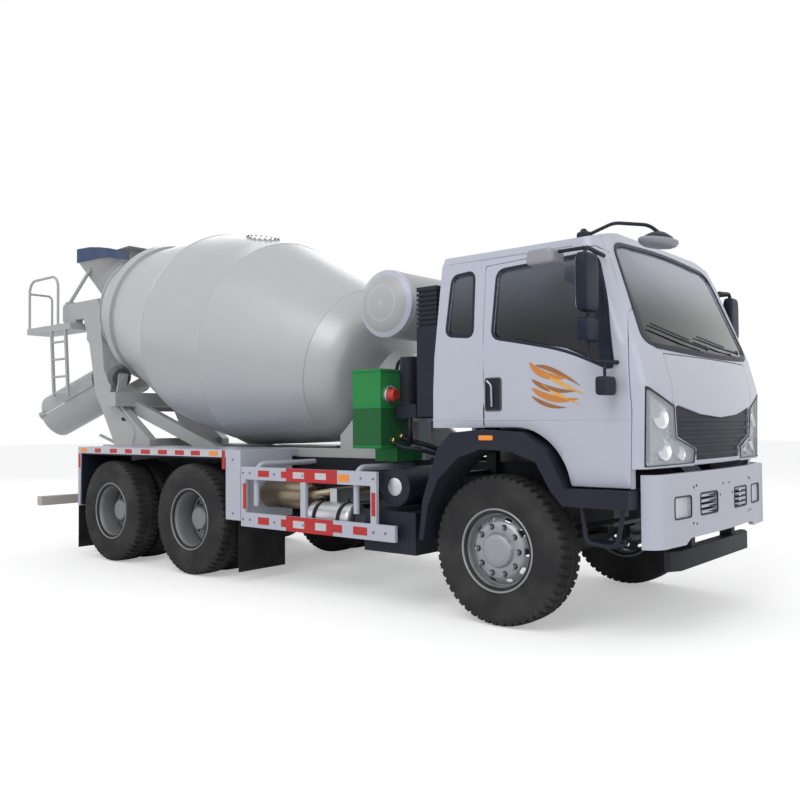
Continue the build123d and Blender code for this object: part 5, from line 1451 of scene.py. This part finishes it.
@dataclass(frozen=True)
class CabFittings:
    """Handles, door design, headlamps, wipers, pillar covers, creases and roof marker."""

    form: CabForm = CabForm()
    handle: tuple = ((-0.076, 0.062), (1.489, 1.722))
    pillar_cover: tuple = (
        (0.690, 2.500), (0.748, 2.502), (0.832, 2.190), (0.892, 1.742), (0.800, 1.768), (0.795, 1.900),
    )
    # start, bend and end in side view, width and finish of each stroke of the door design
    strokes: tuple = (
        ((0.285, 1.815), (0.360, 1.690), (0.600, 1.700), 0.046, "ORANGE_INK"),
        ((0.330, 1.790), (0.470, 1.770), (0.665, 1.640), 0.030, "BROWN_INK"),
        ((0.300, 1.700), (0.420, 1.600), (0.640, 1.610), 0.036, "BROWN_INK"),
        ((0.300, 1.640), (0.450, 1.530), (0.655, 1.560), 0.044, "ORANGE_INK"),
        ((0.400, 1.735), (0.520, 1.650), (0.690, 1.590), 0.026, "AMBER_INK"),
        ((0.300, 1.585), (0.420, 1.500), (0.560, 1.505), 0.028, "BROWN_INK"),
        ((0.380, 1.665), (0.500, 1.575), (0.670, 1.520), 0.022, "AMBER_INK"),
    )
    wipers: tuple = (
        ((-0.10, 1.912), (-0.40, 1.945), (-0.84, 2.015)), ((0.62, 1.925), (0.30, 1.935), (-0.16, 1.975)),
    )
    headlamp: tuple = (
        (-1.085, 1.125), (-0.460, 1.130), (-0.440, 1.220), (-0.720, 1.300), (-0.745, 1.510), (-0.950, 1.585),
        (-1.080, 1.630),
    )
    headlamp_strip: tuple = ((-1.086, 1.15), (-1.030, 1.15), (-1.022, 1.585), (-1.078, 1.615))
    # y, z and radius of the bowls in a headlamp
    bowls: tuple = ((0.905, 1.435, 0.078), (0.860, 1.225, 0.070), (0.640, 1.195, 0.045))

    def build(self) -> None:
        """Builds the fittings."""
        for side, mark in SIDES:
            self._door(side, np.array([mark, 1.0]))
        self._headlamps()
        self._screen()
        self._roof()

    def _side(self, corners: Sequence, radius: float, mark: Array) -> Array:
        """Rounded outline from the side view, unrolled on one side."""
        return self.form.unrolled(rounded(corners, radius), View.SIDE) * mark

    def _run(self, points: Sequence, mark: Array, lift: float) -> Array:
        """Smooth path through points (x, z) of the side view, laid on the face."""
        x, z, _ = smooth_path([(x, z, 0) for x, z in points], 10).T
        return self.form.at(self.form.from_side(x, z) * mark[0], z, np.full(len(x), lift))

    def _door(self, side: str, mark: Array) -> None:
        """Handle, pillar cover, crease and design of one door."""
        body = f"door_{side}"
        outer = self._side(rectangle(*self.handle), 0.022, mark)
        middle = outer.mean(0)
        inner = middle + (outer - middle) * (0.82, 0.90)
        Skin(self.form, lift=0.010, rows=3, roll=0.003, rays=60).build(outer, inner, middle).piece(
            f"handle_rim_{side}", body, Finish.GLOSS_BLACK
        )
        Skin(self.form, lift=0.0045, rows=4, roll=0.001, rays=60).build(inner, None, middle).piece(
            f"handle_well_{side}", body, Finish.TRIM_BLACK
        )
        lever = self._run(((-0.052, 1.700), (-0.018, 1.665), (-0.014, 1.600), (-0.012, 1.520)), mark, 0.015)
        Form().tube(lever, 0.008, 8).piece(f"handle_lever_{side}", body, Finish.NUT_STEEL)
        cover = self._side(self.pillar_cover, 0.012, mark)
        Skin(self.form, lift=0.011, depth=0.004, rows=4, rays=80).build(cover, None, cover.mean(0)).piece(
            f"pillar_cover_{side}", body, Finish.SEAL_BLACK
        )
        for index, (*bends, width, finish) in enumerate(self.strokes):
            name = f"door_stroke_{index}_{side}"
            self._stroke(bends, width, mark).piece(name, body, Finish[finish])
        crease = self._run(((-0.088, 1.428), (0.200, 1.426), (0.600, 1.424), (1.000, 1.422)), mark, 0.0015)
        Form().tube(crease, 0.0045, 6).piece(f"door_crease_{side}", body, Finish.CAB_WHITE)
        crease = self._run(((-0.530, 1.430), (-0.300, 1.429), (-0.112, 1.428)), mark, 0.0015)
        Form().tube(crease, 0.0045, 6).piece(f"wall_crease_{side}", "cab", Finish.CAB_WHITE)

    def _stroke(self, bends: Sequence, width: float, mark: Array) -> Form:
        """One tapered stroke of the door design: a quadratic centre line whose width swells and dies.

        Args:
            bends: first point, the point that pulls the line, and the last point, in side view.
            width: greatest width.
            mark: sign of the side.

        Returns:
            The stroke.
        """
        t = np.linspace(0, 1, 26)[:, None]
        a, b, c = np.array(bends)
        line = (1 - t) ** 2 * a + 2 * t * (1 - t) * b + t**2 * c
        run = unit(np.gradient(line, axis=0))
        across = np.stack([-run[:, 1], run[:, 0]], -1)
        half = width * 0.5 * np.sin(np.pi * t**0.8) ** 0.8 + 0.0004
        rows = []
        for sign, lift in ((-1, 0.0022), (-1, 0.0046), (0, 0.0048), (1, 0.0046), (1, 0.0022)):
            x, z = (line + across * half * sign).T
            rows.append(self.form.at(self.form.from_side(x, z) * mark[0], z, np.full(len(x), lift)))
        return Form().add(np.array(rows), grid_faces(5, len(line), True, False))

    def _headlamps(self) -> None:
        """Lamp units: bright housing, two bowls, ribs, a dark outer strip and a clear pane."""
        outline = self.form.unrolled(rounded(self.headlamp, 0.02), View.FRONT)
        strip = self.form.unrolled(rounded(self.headlamp_strip, 0.008), View.FRONT)
        middle = np.array([-0.90, 1.24])
        for side, mark in SIDES:
            flip = np.array([mark, 1.0])
            edge, core = outline * flip, middle * flip
            # the record has one piece for both lamps
            replaces = ("headlamps",) if side == "right" else ()
            Skin(self.form, lift=-0.020, depth=0.024, roll=0.001, rows=6).build(edge, None, core).piece(
                f"headlamp_housing_{side}", "cab", Finish.LAMP_SHELL, replaces=replaces
            )
            Skin(self.form, lift=0.003, depth=0.001, roll=0.001, rows=6).build(edge, None, core).piece(
                f"headlamp_pane_{side}", "cab", Finish.CLEAR_LENS
            )
            inner = core + (edge - core) * 0.955
            Skin(self.form, lift=0.005, depth=0.012, rows=3).build(edge, inner, core).piece(
                f"headlamp_rim_{side}", "cab", Finish.SEAL_BLACK
            )
            bowls = Form()
            for y, z, radius in self.bowls:
                place = self.form.at(np.array([-y * mark]), np.array([z]), np.array([-0.022]))[0]
                bowl = ((0.0, 0.0), (0.004, radius * 0.30), (0.006, radius * 0.72), (0.016, radius * 0.94),
                        (0.017, radius), (0.0, radius * 1.02))
                bowls.turned(bowl, place, (1, -0.25 * mark, 0.2), 32)
            bowls.piece(f"headlamp_bowls_{side}", "cab", Finish.CHROME)
            Skin(self.form, lift=-0.010, depth=0.014, rows=3, rays=50).build(strip * flip).piece(
                f"headlamp_strip_{side}", "cab", Finish.GLOSS_BLACK
            )
            ribs = Form()
            for y in np.linspace(0.50, 0.80, 9):
                z = np.linspace(1.155, 1.190, 3)
                ribs.tube(self.form.at(np.full(3, -y * mark), z, np.full(3, -0.014)), 0.004, 6)
            for z in np.linspace(1.31, 1.53, 8):
                y = np.linspace(0.800, 0.835, 3)
                ribs.tube(self.form.at(-y * mark, np.full(3, z), np.full(3, -0.014)), 0.004, 6)
            ribs.piece(f"headlamp_ribs_{side}", "cab", Finish.CHROME)

    def _screen(self) -> None:
        """Wipers on the windscreen and the dark strip at its foot."""
        for index, points in enumerate(self.wipers):
            y, z, _ = smooth_path([(y, z, 0) for y, z in points], 12).T
            arm = self.form.at(y, z, np.linspace(0.016, 0.012, len(y)))
            size = np.linspace(0.010, 0.005, len(y))
            blade = self.form.at(y[10:] + 0.02, z[10:] + 0.028, np.full(len(y) - 10, 0.006))
            Form().tube(arm, size, 8).tube(blade, 0.006, 8, flat=0.5).bolts(
                arm[:1], (1, 0, 0.4), 0.018, 0.012, 12
            ).piece(f"wiper_{index}", "cab", Finish.TRIM_BLACK)
        y = np.linspace(-0.86, 0.86, 30)
        low = 1.853 + 0.026 * (y / 0.86) ** 2
        profile = ((0.0, -0.004), (0.002, 0.006), (0.028, 0.008), (0.032, -0.004))
        rows = [self.form.at(y, low + up, np.full(30, out)) for up, out in profile]
        strip = Form().add(np.array(rows), grid_faces(4, 30, True, False))
        strip.piece("screen_foot", "cab", Finish.TRIM_BLACK)

    def _roof(self) -> None:
        """Gutters over the doors and the marker on the roof's corner."""
        gutters = Form()
        s = np.linspace(1.30, 2.62, 30)
        path = self.form.at(-s, self.form.eaves(-s) - 0.050, np.full(30, 0.003))
        gutters.tube(path, 0.006, 8).mirrored().piece("gutters", "cab", Finish.CAB_WHITE)
        x, y = 0.56, -0.86
        z = min(float(self.form.roof(np.array(x), np.array(y))), 2.690)
        lamp = ((-0.004, 0.040), (0.012, 0.040), (0.020, 0.026), (0.046, 0.023), (0.056, 0.014), (0.058, 0.0))
        marker = Form().turned(lamp, (x, y, z), (0, 0, 1), 20)
        marker.piece("roof_marker", "cab", Finish.TRIM_BLACK)


@dataclass(frozen=True)
class Mirrors:
    """Door mirrors on their arms and the kerb mirror over the windscreen."""

    # name, x, y and z spans, finish
    heads: tuple = (
        ("main", (0.770, 0.850), (-1.400, -1.215), (2.089, 2.458), "MIRROR_NAVY"),
        ("wide", (0.775, 0.850), (-1.395, -1.220), (1.902, 2.052), "MIRROR_NAVY"),
        ("kerb", (0.420, 0.620), (-1.400, -1.220), (2.410, 2.514), "MIRROR_GREY"),
        ("low", (0.850, 0.925), (-1.310, -1.150), (1.572, 1.689), "TRIM_BLACK"),
    )
    # heads that show a pane, and how far the pane stays inside its head's outline
    paned: tuple[str, str] = ("main", "wide")
    inset: float = 0.018
    arm: tuple = (
        (0.800, -1.052, 2.478), (0.800, -1.310, 2.500), (0.830, -1.310, 1.780), (0.930, -1.108, 1.779),
    )
    roof_arm: tuple = (
        (0.600, -0.930, 2.650), (0.800, -0.900, 2.718), (0.980, -0.760, 2.700), (1.040, -0.720, 2.640),
    )

    def build(self) -> None:
        """Builds the mirrors of both doors and the roof's."""
        for side, mark in SIDES:
            flip = np.array([1.0, mark, 1.0])
            body = f"door_{side}"
            for name, x, y, z, finish in self.heads:
                head = pod(x, y, z, 0.32)
                head.points = [points * flip for points in head.points]
                replaces = (f"mirrors_{side}",) if name == "main" else ()
                head.piece(f"mirror_{name}_{side}", body, Finish[finish], sharp=60, replaces=replaces)
                if name in self.paned:
                    spans = [(low + self.inset, high - self.inset) for low, high in (y, z)]
                    glass = pod((x[0] - 0.003, x[0] + 0.010), *spans, 0.25)
                    glass.points = [points * flip for points in glass.points]
                    glass.piece(f"mirror_glass_{name}_{side}", body, Finish.MIRROR_GLASS, sharp=60)
            arm = Form().tube(bent_path(self.arm, 0.05) * flip, 0.014, 12)
            arm.tube(np.array([(0.600, -1.31, 2.49), (0.800, -1.31, 2.49)]) * flip, 0.012, 10)
            arm.tube(np.array([(0.880, -1.225, 1.680), (0.880, -1.225, 1.785)]) * flip, 0.010, 10)
            arm.piece(f"mirror_arm_{side}", body, Finish.TRIM_BLACK)
        bowl = ((-0.050, 0.0), (-0.048, 0.05), (-0.042, 0.09), (-0.028, 0.118), (-0.010, 0.130),
                (0.004, 0.130), (0.012, 0.124), (0.018, 0.10), (0.020, 0.0))
        tilt = (math.cos(math.radians(80)), 0.0, math.sin(math.radians(80)))
        place = (1.035, -0.740, 2.590)
        Form().turned(bowl, place, tilt, 40).piece("roof_mirror_bowl", "cab", Finish.MIRROR_GREY)
        cap = ((0.012, 0.104), (0.030, 0.088), (0.046, 0.060), (0.058, 0.034), (0.064, 0.0))
        Form().turned(cap, place, tilt, 32).tube(bent_path(self.roof_arm, 0.04), 0.012, 10).piece(
            "roof_mirror_arm", "cab", Finish.TRIM_BLACK, replaces=("roof_mirror",)
        )
        foot = pod((0.555, 0.645), (-0.965, -0.895), (2.600, 2.684), 0.4)
        foot.piece("roof_mirror_foot", "cab", Finish.TRIM_BLACK, sharp=60)


def pod(x: Sequence[float], y: Sequence[float], z: Sequence[float], power: float, rings: int = 18) -> Form:
    """Rounded block between spans on three axes: a ball with its sines and cosines raised to a power.

    Args:
        x: span along the truck.
        y: span across.
        z: span upwards.
        power: 1 for a ball, near 0 for a block.
        rings: rings from pole to pole.

    Returns:
        The form.
    """
    u = np.linspace(-np.pi, np.pi, rings * 2, endpoint=False)[None]
    v = np.linspace(-np.pi / 2, np.pi / 2, rings)[:, None]

    def swell(value: Array) -> Array:
        """Sign of a value times its size to the power."""
        return np.sign(value) * np.abs(value) ** power

    girth = swell(np.cos(v))
    cells = (girth * swell(np.cos(u)), girth * swell(np.sin(u)), swell(np.sin(v)) + 0 * u)
    points = [(low + high) / 2 + (high - low) / 2 * cell for (low, high), cell in zip((x, y, z), cells)]
    return Form().add(np.stack(points, -1), grid_faces(rings, rings * 2, False, True))


# Body of the mixer


@dataclass(frozen=True)
class Guards:
    """Reflective tape, markers and bolts on the side guards and the rear fenders."""

    # distance of the guard's face from the truck's middle, heights of its two rails
    face: float = 1.200
    upper: tuple[float, float] = (0.930, 1.040)
    lower: tuple[float, float] = (0.515, 0.640)
    # x span, share of the rail's height from its foot, finish
    upper_tape: tuple = (
        (-2.410, -2.267, 0.25, 0.75, "TAPE_RED"), (-2.115, -2.053, 0.25, 0.75, "TAPE_RED"),
        (-2.053, -1.456, 0.0, 1.0, "TAPE_RED"), (-1.445, -1.324, 0.20, 0.72, "AMBER"),
    )
    lower_tape: tuple = (
        (-2.412, -2.269, 0.25, 0.75, "TAPE_RED"), (-2.117, -2.055, 0.25, 0.75, "TAPE_RED"),
        (-2.055, -1.503, 0.0, 1.0, "TAPE_RED"), (-1.503, -1.403, 0.25, 0.75, "TAPE_RED"),
        (-1.284, -1.136, 0.25, 0.75, "TAPE_RED"),
    )
    patches: tuple = ((-1.967, -1.834), (-1.705, -1.579))
    # spans of the upright pieces
    uprights: tuple = (
        ((-2.612, -2.570), (0.670, 0.895)), ((-1.090, -1.050), (0.700, 0.880)),
        ((-2.905, -2.862), (1.010, 1.180)), ((-5.396, -5.352), (0.960, 1.112)),
    )
    # x spans and finishes along the fender
    strip: tuple = (
        (-5.342, -5.218, "AMBER"), (-5.056, -4.937, "TAPE_RED"), (-4.763, -4.630, "TAPE_RED"),
        (-4.481, -4.354, "TAPE_RED"), (-4.193, -4.037, "TAPE_RED"), (-3.900, -3.750, "TAPE_RED"),
        (-3.620, -3.477, "TAPE_RED"), (-3.367, -3.229, "TAPE_RED"), (-3.095, -2.963, "AMBER"),
    )

    def _label(self, form: Form, x: Sequence[float], z: Sequence[float], proud: float) -> Form:
        """Thin plate on the guard's face with its corners eased."""
        outline = rounded(rectangle(x, z), 0.004, 3)
        return form.slab(outline, 1, (-self.face + 0.001, -self.face - proud))

    def build(self) -> None:
        """Builds the tape, bolts and markers of both sides."""
        forms = {name: Form() for name in ("TAPE_RED", "AMBER", "TAPE_WHITE")}
        for (low, high), table in ((self.upper, self.upper_tape), (self.lower, self.lower_tape)):
            for start, end, foot, top, finish in table:
                span = (low + (high - low) * foot, low + (high - low) * top)
                self._label(forms[finish], (start, end), span, 0.0015)
            for patch in self.patches:
                span = (low + (high - low) * 0.26, low + (high - low) * 0.74)
                self._label(forms["TAPE_WHITE"], patch, span, 0.0025)
        for start, end, finish in self.strip:
            self._label(forms[finish], (start, end), (1.128, 1.172), 0.0025)
        self._label(forms["TAPE_WHITE"], (-5.395, -2.895), (1.118, 1.182), 0.0015)
        for x, z in self.uprights:
            self._label(forms["TAPE_RED"], x, z, 0.0015)
        for name, form in forms.items():
            form.mirrored().piece(f"guard_{name.lower()}", "chassis", Finish[name])
        along = (-2.61, -2.52, -2.20, -1.85, -1.50, -1.20, -1.07)
        places = [(x, -self.face, z) for x in along for z in (0.985, 0.578)]
        places += [(-0.95, -self.face, 0.578), (-2.75, -self.face, 0.62), (-2.75, -self.face, 1.10)]
        bolts = Form().bolts(places, (0, -1, 0), 0.009, 0.007).mirrored()
        bolts.piece("guard_bolts", "chassis", Finish.CAST_GREY)
        marker = rounded(rectangle((-0.085, 0.030), (1.288, 1.322)), 0.008, 4)
        Form().slab(marker, 1, (-self.face + 0.002, -self.face - 0.008)).mirrored().piece(
            "fender_markers", "chassis", Finish.AMBER, bevel=0.003
        )


@dataclass(frozen=True)
class Tanks:
    """Round and boxed tanks along the frame and behind the cab, with their straps, flanges and hoses."""

    # path and radius of each hose
    hoses: tuple = (
        (((-1.200, -0.760, 1.850), (-1.170, -0.760, 1.915), (-1.090, -0.770, 1.930),
          (-1.040, -0.795, 1.905)), 0.014),
        (((-1.160, -0.760, 1.300), (-1.060, -0.740, 1.265), (-0.960, -0.700, 1.240),
          (-0.860, -0.600, 1.190)), 0.022),
        (((-1.160, -0.860, 1.270), (-1.060, -0.850, 1.220), (-0.950, -0.790, 1.200),
          (-0.840, -0.660, 1.160)), 0.018),
        (((-1.000, -0.830, 1.452), (-0.985, -0.850, 1.370), (-1.010, -0.820, 1.290),
          (-1.090, -0.740, 1.240)), 0.020),
    )

    def build(self) -> None:
        """Builds the tanks."""
        self._air_tank()
        self._silencer()
        self._cleaner()
        self._water()
        self._oil()

    @staticmethod
    def _vessel(length: float, radius: float, dish: float) -> list[tuple[float, float]]:
        """Profile of a vessel: quarter ellipses at both ends of a straight barrel."""
        t = np.linspace(0, np.pi / 2, 9)
        front = [(dish * (1 - math.cos(a)), radius * math.sin(a)) for a in t]
        return front + [(length - s, r) for s, r in front[::-1]]

    def _air_tank(self) -> None:
        """Silver air tank with two black straps."""
        start = (-2.050, -0.880, 0.610)
        shell = Form().turned(self._vessel(0.55, 0.140, 0.05), start, (1, 0, 0), 48)
        shell.piece("air_tank_shell", "chassis", Finish.TANK_ALLOY, sharp=50)
        strap = ((0, 0.139), (0, 0.144), (0.04, 0.144), (0.04, 0.139))
        straps = Form().hoops((0.12, 0.40), strap, start, (1, 0, 0))
        straps.bolts([(-1.91, -0.880, 0.754), (-1.63, -0.880, 0.754)], (0, 0, 1), 0.010, 0.03)
        straps.piece("air_tank_straps", "chassis", Finish.TRIM_BLACK)

    def _silencer(self) -> None:
        """Bronzed silencer with rolled seams and its pipe."""
        start = (-2.640, -0.880, 0.785)
        form = Form().turned(self._vessel(0.56, 0.1205, 0.035), start, (1, 0, 0), 48)
        seam = ((0, 0.119), (0.002, 0.1235), (0.012, 0.1235), (0.014, 0.119))
        form.hoops((0.03, 0.28, 0.53), seam, start, (1, 0, 0))
        form.tube(smooth_path(((-2.085, -0.880, 0.785), (-2.00, -0.870, 0.800), (-1.90, -0.780, 0.820),
                               (-1.80, -0.640, 0.830), (-1.76, -0.480, 0.835))), 0.040, 14)
        form.piece("silencer_shell", "chassis", Finish.EXHAUST_BRONZE, sharp=50)

    def _cleaner(self) -> None:
        """Round air cleaner: ribbed black drum with a pale disc on its end."""
        centre = (-0.930, -1.100, 0.925)
        ribs = []
        for s in np.linspace(0.03, 0.55, 14):
            ribs += [(s, 0.1475), (s + 0.008, 0.1515), (s + 0.018, 0.1515), (s + 0.026, 0.1475)]
        face = ((0.0, 0.0), (0.0, 0.120), (-0.008, 0.128), (-0.008, 0.143), (0.006, 0.1505))
        profile = [*face, *ribs, (0.6, 0.148)]
        drum = Form().turned(profile, centre, (0, 1, 0), 56)
        drum.piece("cleaner_drum", "chassis", Finish.TRIM_BLACK, sharp=50)
        disc = ((-0.014, 0.0), (-0.014, 0.060), (-0.010, 0.068), (0.002, 0.070))
        Form().turned(disc, centre, (0, 1, 0), 40).piece("cleaner_disc", "chassis", Finish.TANK_ALLOY)
        knobs = [(centre[0] + 0.142 * math.sin(a), -1.108, centre[2] + 0.142 * math.cos(a))
                 for a in np.linspace(0, 2 * math.pi, 24, endpoint=False)]
        Form().bolts(knobs, (0, -1, 0), 0.008, 0.006, 8).piece("cleaner_knobs", "chassis", Finish.TRIM_BLACK)

    def _water(self) -> None:
        """Water tank's barrel with dished ends and weld seams."""
        start = (-1.380, -0.758, 2.420)
        form = Form().turned(self._vessel(1.516, 0.2855, 0.125), start, (0, 1, 0), 72)
        seam = ((0, 0.284), (0.003, 0.2885), (0.009, 0.2885), (0.012, 0.284))
        form.hoops((0.128, 1.384), seam, start, (0, 1, 0), 72)
        filler = ((-0.006, 0.040), (0.020, 0.040), (0.024, 0.034), (0.024, 0.0))
        form.turned(filler, (-1.380, 0.30, 2.700), (0, 0, 1), 24)
        form.piece("water_barrel", "chassis", Finish.MIXER_GREY, sharp=50)

    def _oil(self) -> None:
        """Green oil tank's lid, seams, a darker band of painted shade on its lower half, round flange with
        its red cap, filter and hoses.
        """
        trim = Form()
        for z, proud in ((1.842, 0.008), (1.545, 0.004), (1.232, 0.004)):
            spans = ((-1.470 - proud, -1.165 + proud), (-1.000 - proud, -0.650))
            trim.slab(rounded(rectangle(*spans), 0.012, 4), 2, (z - 0.012, z + (0.006 if z > 1.8 else 0.0)))
        # Painted shade: a darker green band over the tank's lower half stands in for the shade there.
        lower = rounded(rectangle((-1.472, -1.163), (-1.002, -0.652)), 0.010, 4)
        band = Form().slab(lower, 2, (1.236, 1.533))
        band.piece("oil_tank_shade_band", "chassis", Finish.TANK_GREEN_DARK, bevel=0.002)
        lid = [(x, y, 1.848) for x in (-1.44, -1.32, -1.20) for y in (-0.97, -0.82, -0.68)]
        trim.bolts(lid, (0, 0, 1), 0.009, 0.006)
        trim.piece("oil_tank_trim", "chassis", Finish.TANK_GREEN, sharp=30)
        flange = ((-0.004, 0.074), (0.022, 0.074), (0.028, 0.066), (0.030, 0.0))
        Form().turned(flange, (-1.165, -0.900, 1.640), (1, 0, 0), 40).piece(
            "oil_flange", "chassis", Finish.TANK_ALLOY
        )
        cap = ((0.0, 0.052), (0.040, 0.050), (0.052, 0.040), (0.054, 0.0))
        Form().turned(cap, (-1.138, -0.900, 1.640), (1, 0, 0), 28).piece("oil_cap", "chassis", Finish.CAP_RED)
        can = ((0.0, 0.0), (0.0, 0.070), (0.012, 0.0755), (0.330, 0.0755), (0.345, 0.070), (0.350, 0.050),
               (0.380, 0.046), (0.380, 0.0))
        Form().turned(can, (-1.030, -0.800, 1.560), (0, 0, 1), 40).piece(
            "filter_can", "chassis", Finish.FRAME_BLACK
        )
        hoses = Form()
        for points, radius in self.hoses:
            hoses.tube(smooth_path(points, 10), radius, 10)
        hoses.piece("hoses", "chassis", Finish.TRIM_BLACK, sharp=50)
        brass = [(-1.165, -0.760, 1.300), (-1.165, -0.860, 1.270)]
        Form().bolts(brass, (1, 0, 0), 0.028, 0.030).piece("fittings_brass", "chassis", Finish.BRASS)


@dataclass(frozen=True)
class Rear:
    """Track rollers, underrun beam, rear lamps, the pedestal's ribs and wells, and the fender liners."""

    drum: Drum = Drum()
    # (x, z) along the rib of a side plate
    rib: tuple = (
        (-5.700, 1.640), (-5.600, 1.600), (-5.480, 1.500), (-5.360, 1.420), (-5.310, 1.330), (-5.330, 1.215),
    )

    def build(self) -> None:
        """Builds the pieces."""
        self._rollers()
        self._beam()
        self._pedestal()

    def _rollers(self) -> None:
        """Rollers with a dished face and a crowned tread."""
        along = np.array([-math.cos(self.drum.tilt), 0.0, math.sin(self.drum.tilt)])
        profile = (
            (-0.055, 0.0255), (-0.055, 0.050), (-0.040, 0.058), (-0.040, 0.095), (-0.055, 0.104),
            (-0.055, 0.120), (-0.050, 0.1247), (0.050, 0.1247), (0.055, 0.120), (0.055, 0.104),
            (0.040, 0.095), (0.040, 0.058), (0.055, 0.050), (0.055, 0.0255),
        )
        # the track's radius, the roller's and the gap between them
        reach = np.array(0.840 + 0.125 + 0.0003)
        for side, turn in (("right", -36.0), ("left", 36.0)):
            centre = self.drum.at(np.array(3.714), reach, np.array(math.radians(turn)))
            Form().turned(profile, centre, along, 48, True).piece(
                f"roller_wheel_{side}", f"roller_{side}", Finish.CAST_GREY, replaces=(f"roller_{side}",)
            )

    def _beam(self) -> None:
        """Pale sleeve over the underrun beam, with its lamps' lenses and backs."""
        outline = rounded(rectangle((-6.304, -6.196), (0.497, 0.603)), 0.008, 4)
        sleeve = Form().slab(outline, 1, (-1.202, 1.202))
        sleeve.piece("underrun_beam", "chassis", Finish.BEAM_GREY, bevel=0.002)
        for start, finish in ((0.770, Finish.AMBER), (0.900, Finish.RED_LENS), (1.030, Finish.RED_LENS)):
            lamp = pod((-6.338, -6.315), (-start - 0.115, -start), (0.512, 0.588), 0.3, 10)
            lamp.mirrored().piece(f"rear_lens_{int(start * 1000)}", "chassis", finish, sharp=60)
        Form().box((-6.332, -6.320), (-1.15, -0.76), (0.506, 0.594)).mirrored().piece(
            "rear_lamp_backs", "chassis", Finish.TRIM_BLACK, bevel=0.002
        )

    def _pedestal(self) -> None:
        """Ribs on the pedestal's side plates, black discs and slots of painted shade in their wells, and the
        liners under the rear fenders.
        """
        rib = [(x, -0.562, z) for x, z in self.rib]
        ribs = Form().tube(smooth_path(rib, 10), 0.014, 8)
        ribs.mirrored().piece("pedestal_ribs", "chassis", Finish.MIXER_GREY, sharp=60)
        # Painted shade: a black disc and a black slot stand in for the shade inside the plate's wells.
        well = ((0.0, 0.0), (0.0, 0.0455), (-0.030, 0.0455), (-0.030, 0.0))
        wells = Form().turned(well, (-5.790, -0.548, 1.690), (0, -1, 0), 32)
        slot = rounded(rectangle((-5.587, -5.453), (1.4675, 1.5125)), 0.022, 6)
        wells.slab(slot, 1, (-0.548, -0.518)).mirrored().piece("pedestal_wells", "chassis", Finish.TRIM_BLACK)
        liner = Form().box((-5.345, -2.850), (-1.192, -0.580), (1.104, 1.1205))
        liner.box((-2.866, -2.852), (-1.192, -0.580), (0.575, 1.110))
        liner.box((-5.350, -5.335), (-1.192, -0.580), (0.560, 1.110))
        liner.mirrored().piece("fender_liners", "chassis", Finish.TRIM_BLACK)


# CAD nodes


# finish of each of the record's slots
SLOT_FINISH: dict[str, Finish] = {finish.value.name: finish for finish in Finish}
# first words of the nodes that a finer mesh stands for
REBUILT = (
    "tyre_", "rim_", "drum_shell", "cab_glazing", "door_glass_", "mirrors_", "roof_mirror", "headlamps",
    "roller_",
)


def dress_cad() -> None:
    """Gives each CAD node the finish of its slot, and a rounded copy where no finer mesh stands for it."""
    riders = {node: body for body, nodes in frame["record"]["behaviour"]["bodies"].items() for node in nodes}
    for entry in frame["record"]["subparts"]:
        name = entry["node"]
        node = frame["nodes"][name]
        finish = SLOT_FINISH[entry["material_slot"]]
        node.data.materials.clear()
        node.data.materials.append(finish.material)
        if not name.startswith(REBUILT):
            softened(name, riders[name], finish)


def softened(name: str, body: str, finish: Finish) -> None:
    """Copies a CAD node, merges its loose triangles and rounds its sharp edges.

    The cab's pivot pins are drawn a millimetre slimmer, so that their flats turn clear of the bore's.

    Args:
        name: node.
        body: body that it rides on.
        finish: finish of the copy.
    """
    source = frame["nodes"][name]
    mesh = source.data.copy()
    mesh.transform(source.matrix_world)
    work = bmesh.new()
    work.from_mesh(mesh)
    bmesh.ops.remove_doubles(work, verts=work.verts, dist=2e-5)
    bmesh.ops.recalc_face_normals(work, faces=work.faces)
    work.to_mesh(mesh)
    work.free()
    corners = np.empty(len(mesh.vertices) * 3)
    mesh.vertices.foreach_get("co", corners)
    corners = corners.reshape(-1, 3) - ORIGIN
    if name == "frame_rails":
        arm = corners[:, ::2] - CAB_PIVOT
        pin = np.hypot(arm[:, 0], arm[:, 1]) < PIN_REACH
        corners[pin, ::2] = CAB_PIVOT + arm[pin] * PIN_SHARE
    faces = [list(face.vertices) for face in mesh.polygons]
    Form().add(corners, faces).piece(f"{name}_soft", body, finish, bevel=0.004, sharp=30, replaces=(name,))


def main() -> None:
    """Builds the truck's looks and the studio."""
    logging.basicConfig(level=logging.INFO, format="%(message)s")
    dress_cad()
    Cab().build()
    CabFittings().build()
    Mirrors().build()
    Bumper().build()
    Wheels().build()
    Drum().build()
    Guards().build()
    Tanks().build()
    Rear().build()
    Camera().build()
    Studio().build()
    bpy.context.scene.view_settings.view_transform = "Standard"


if __name__ == "__main__":
    main()
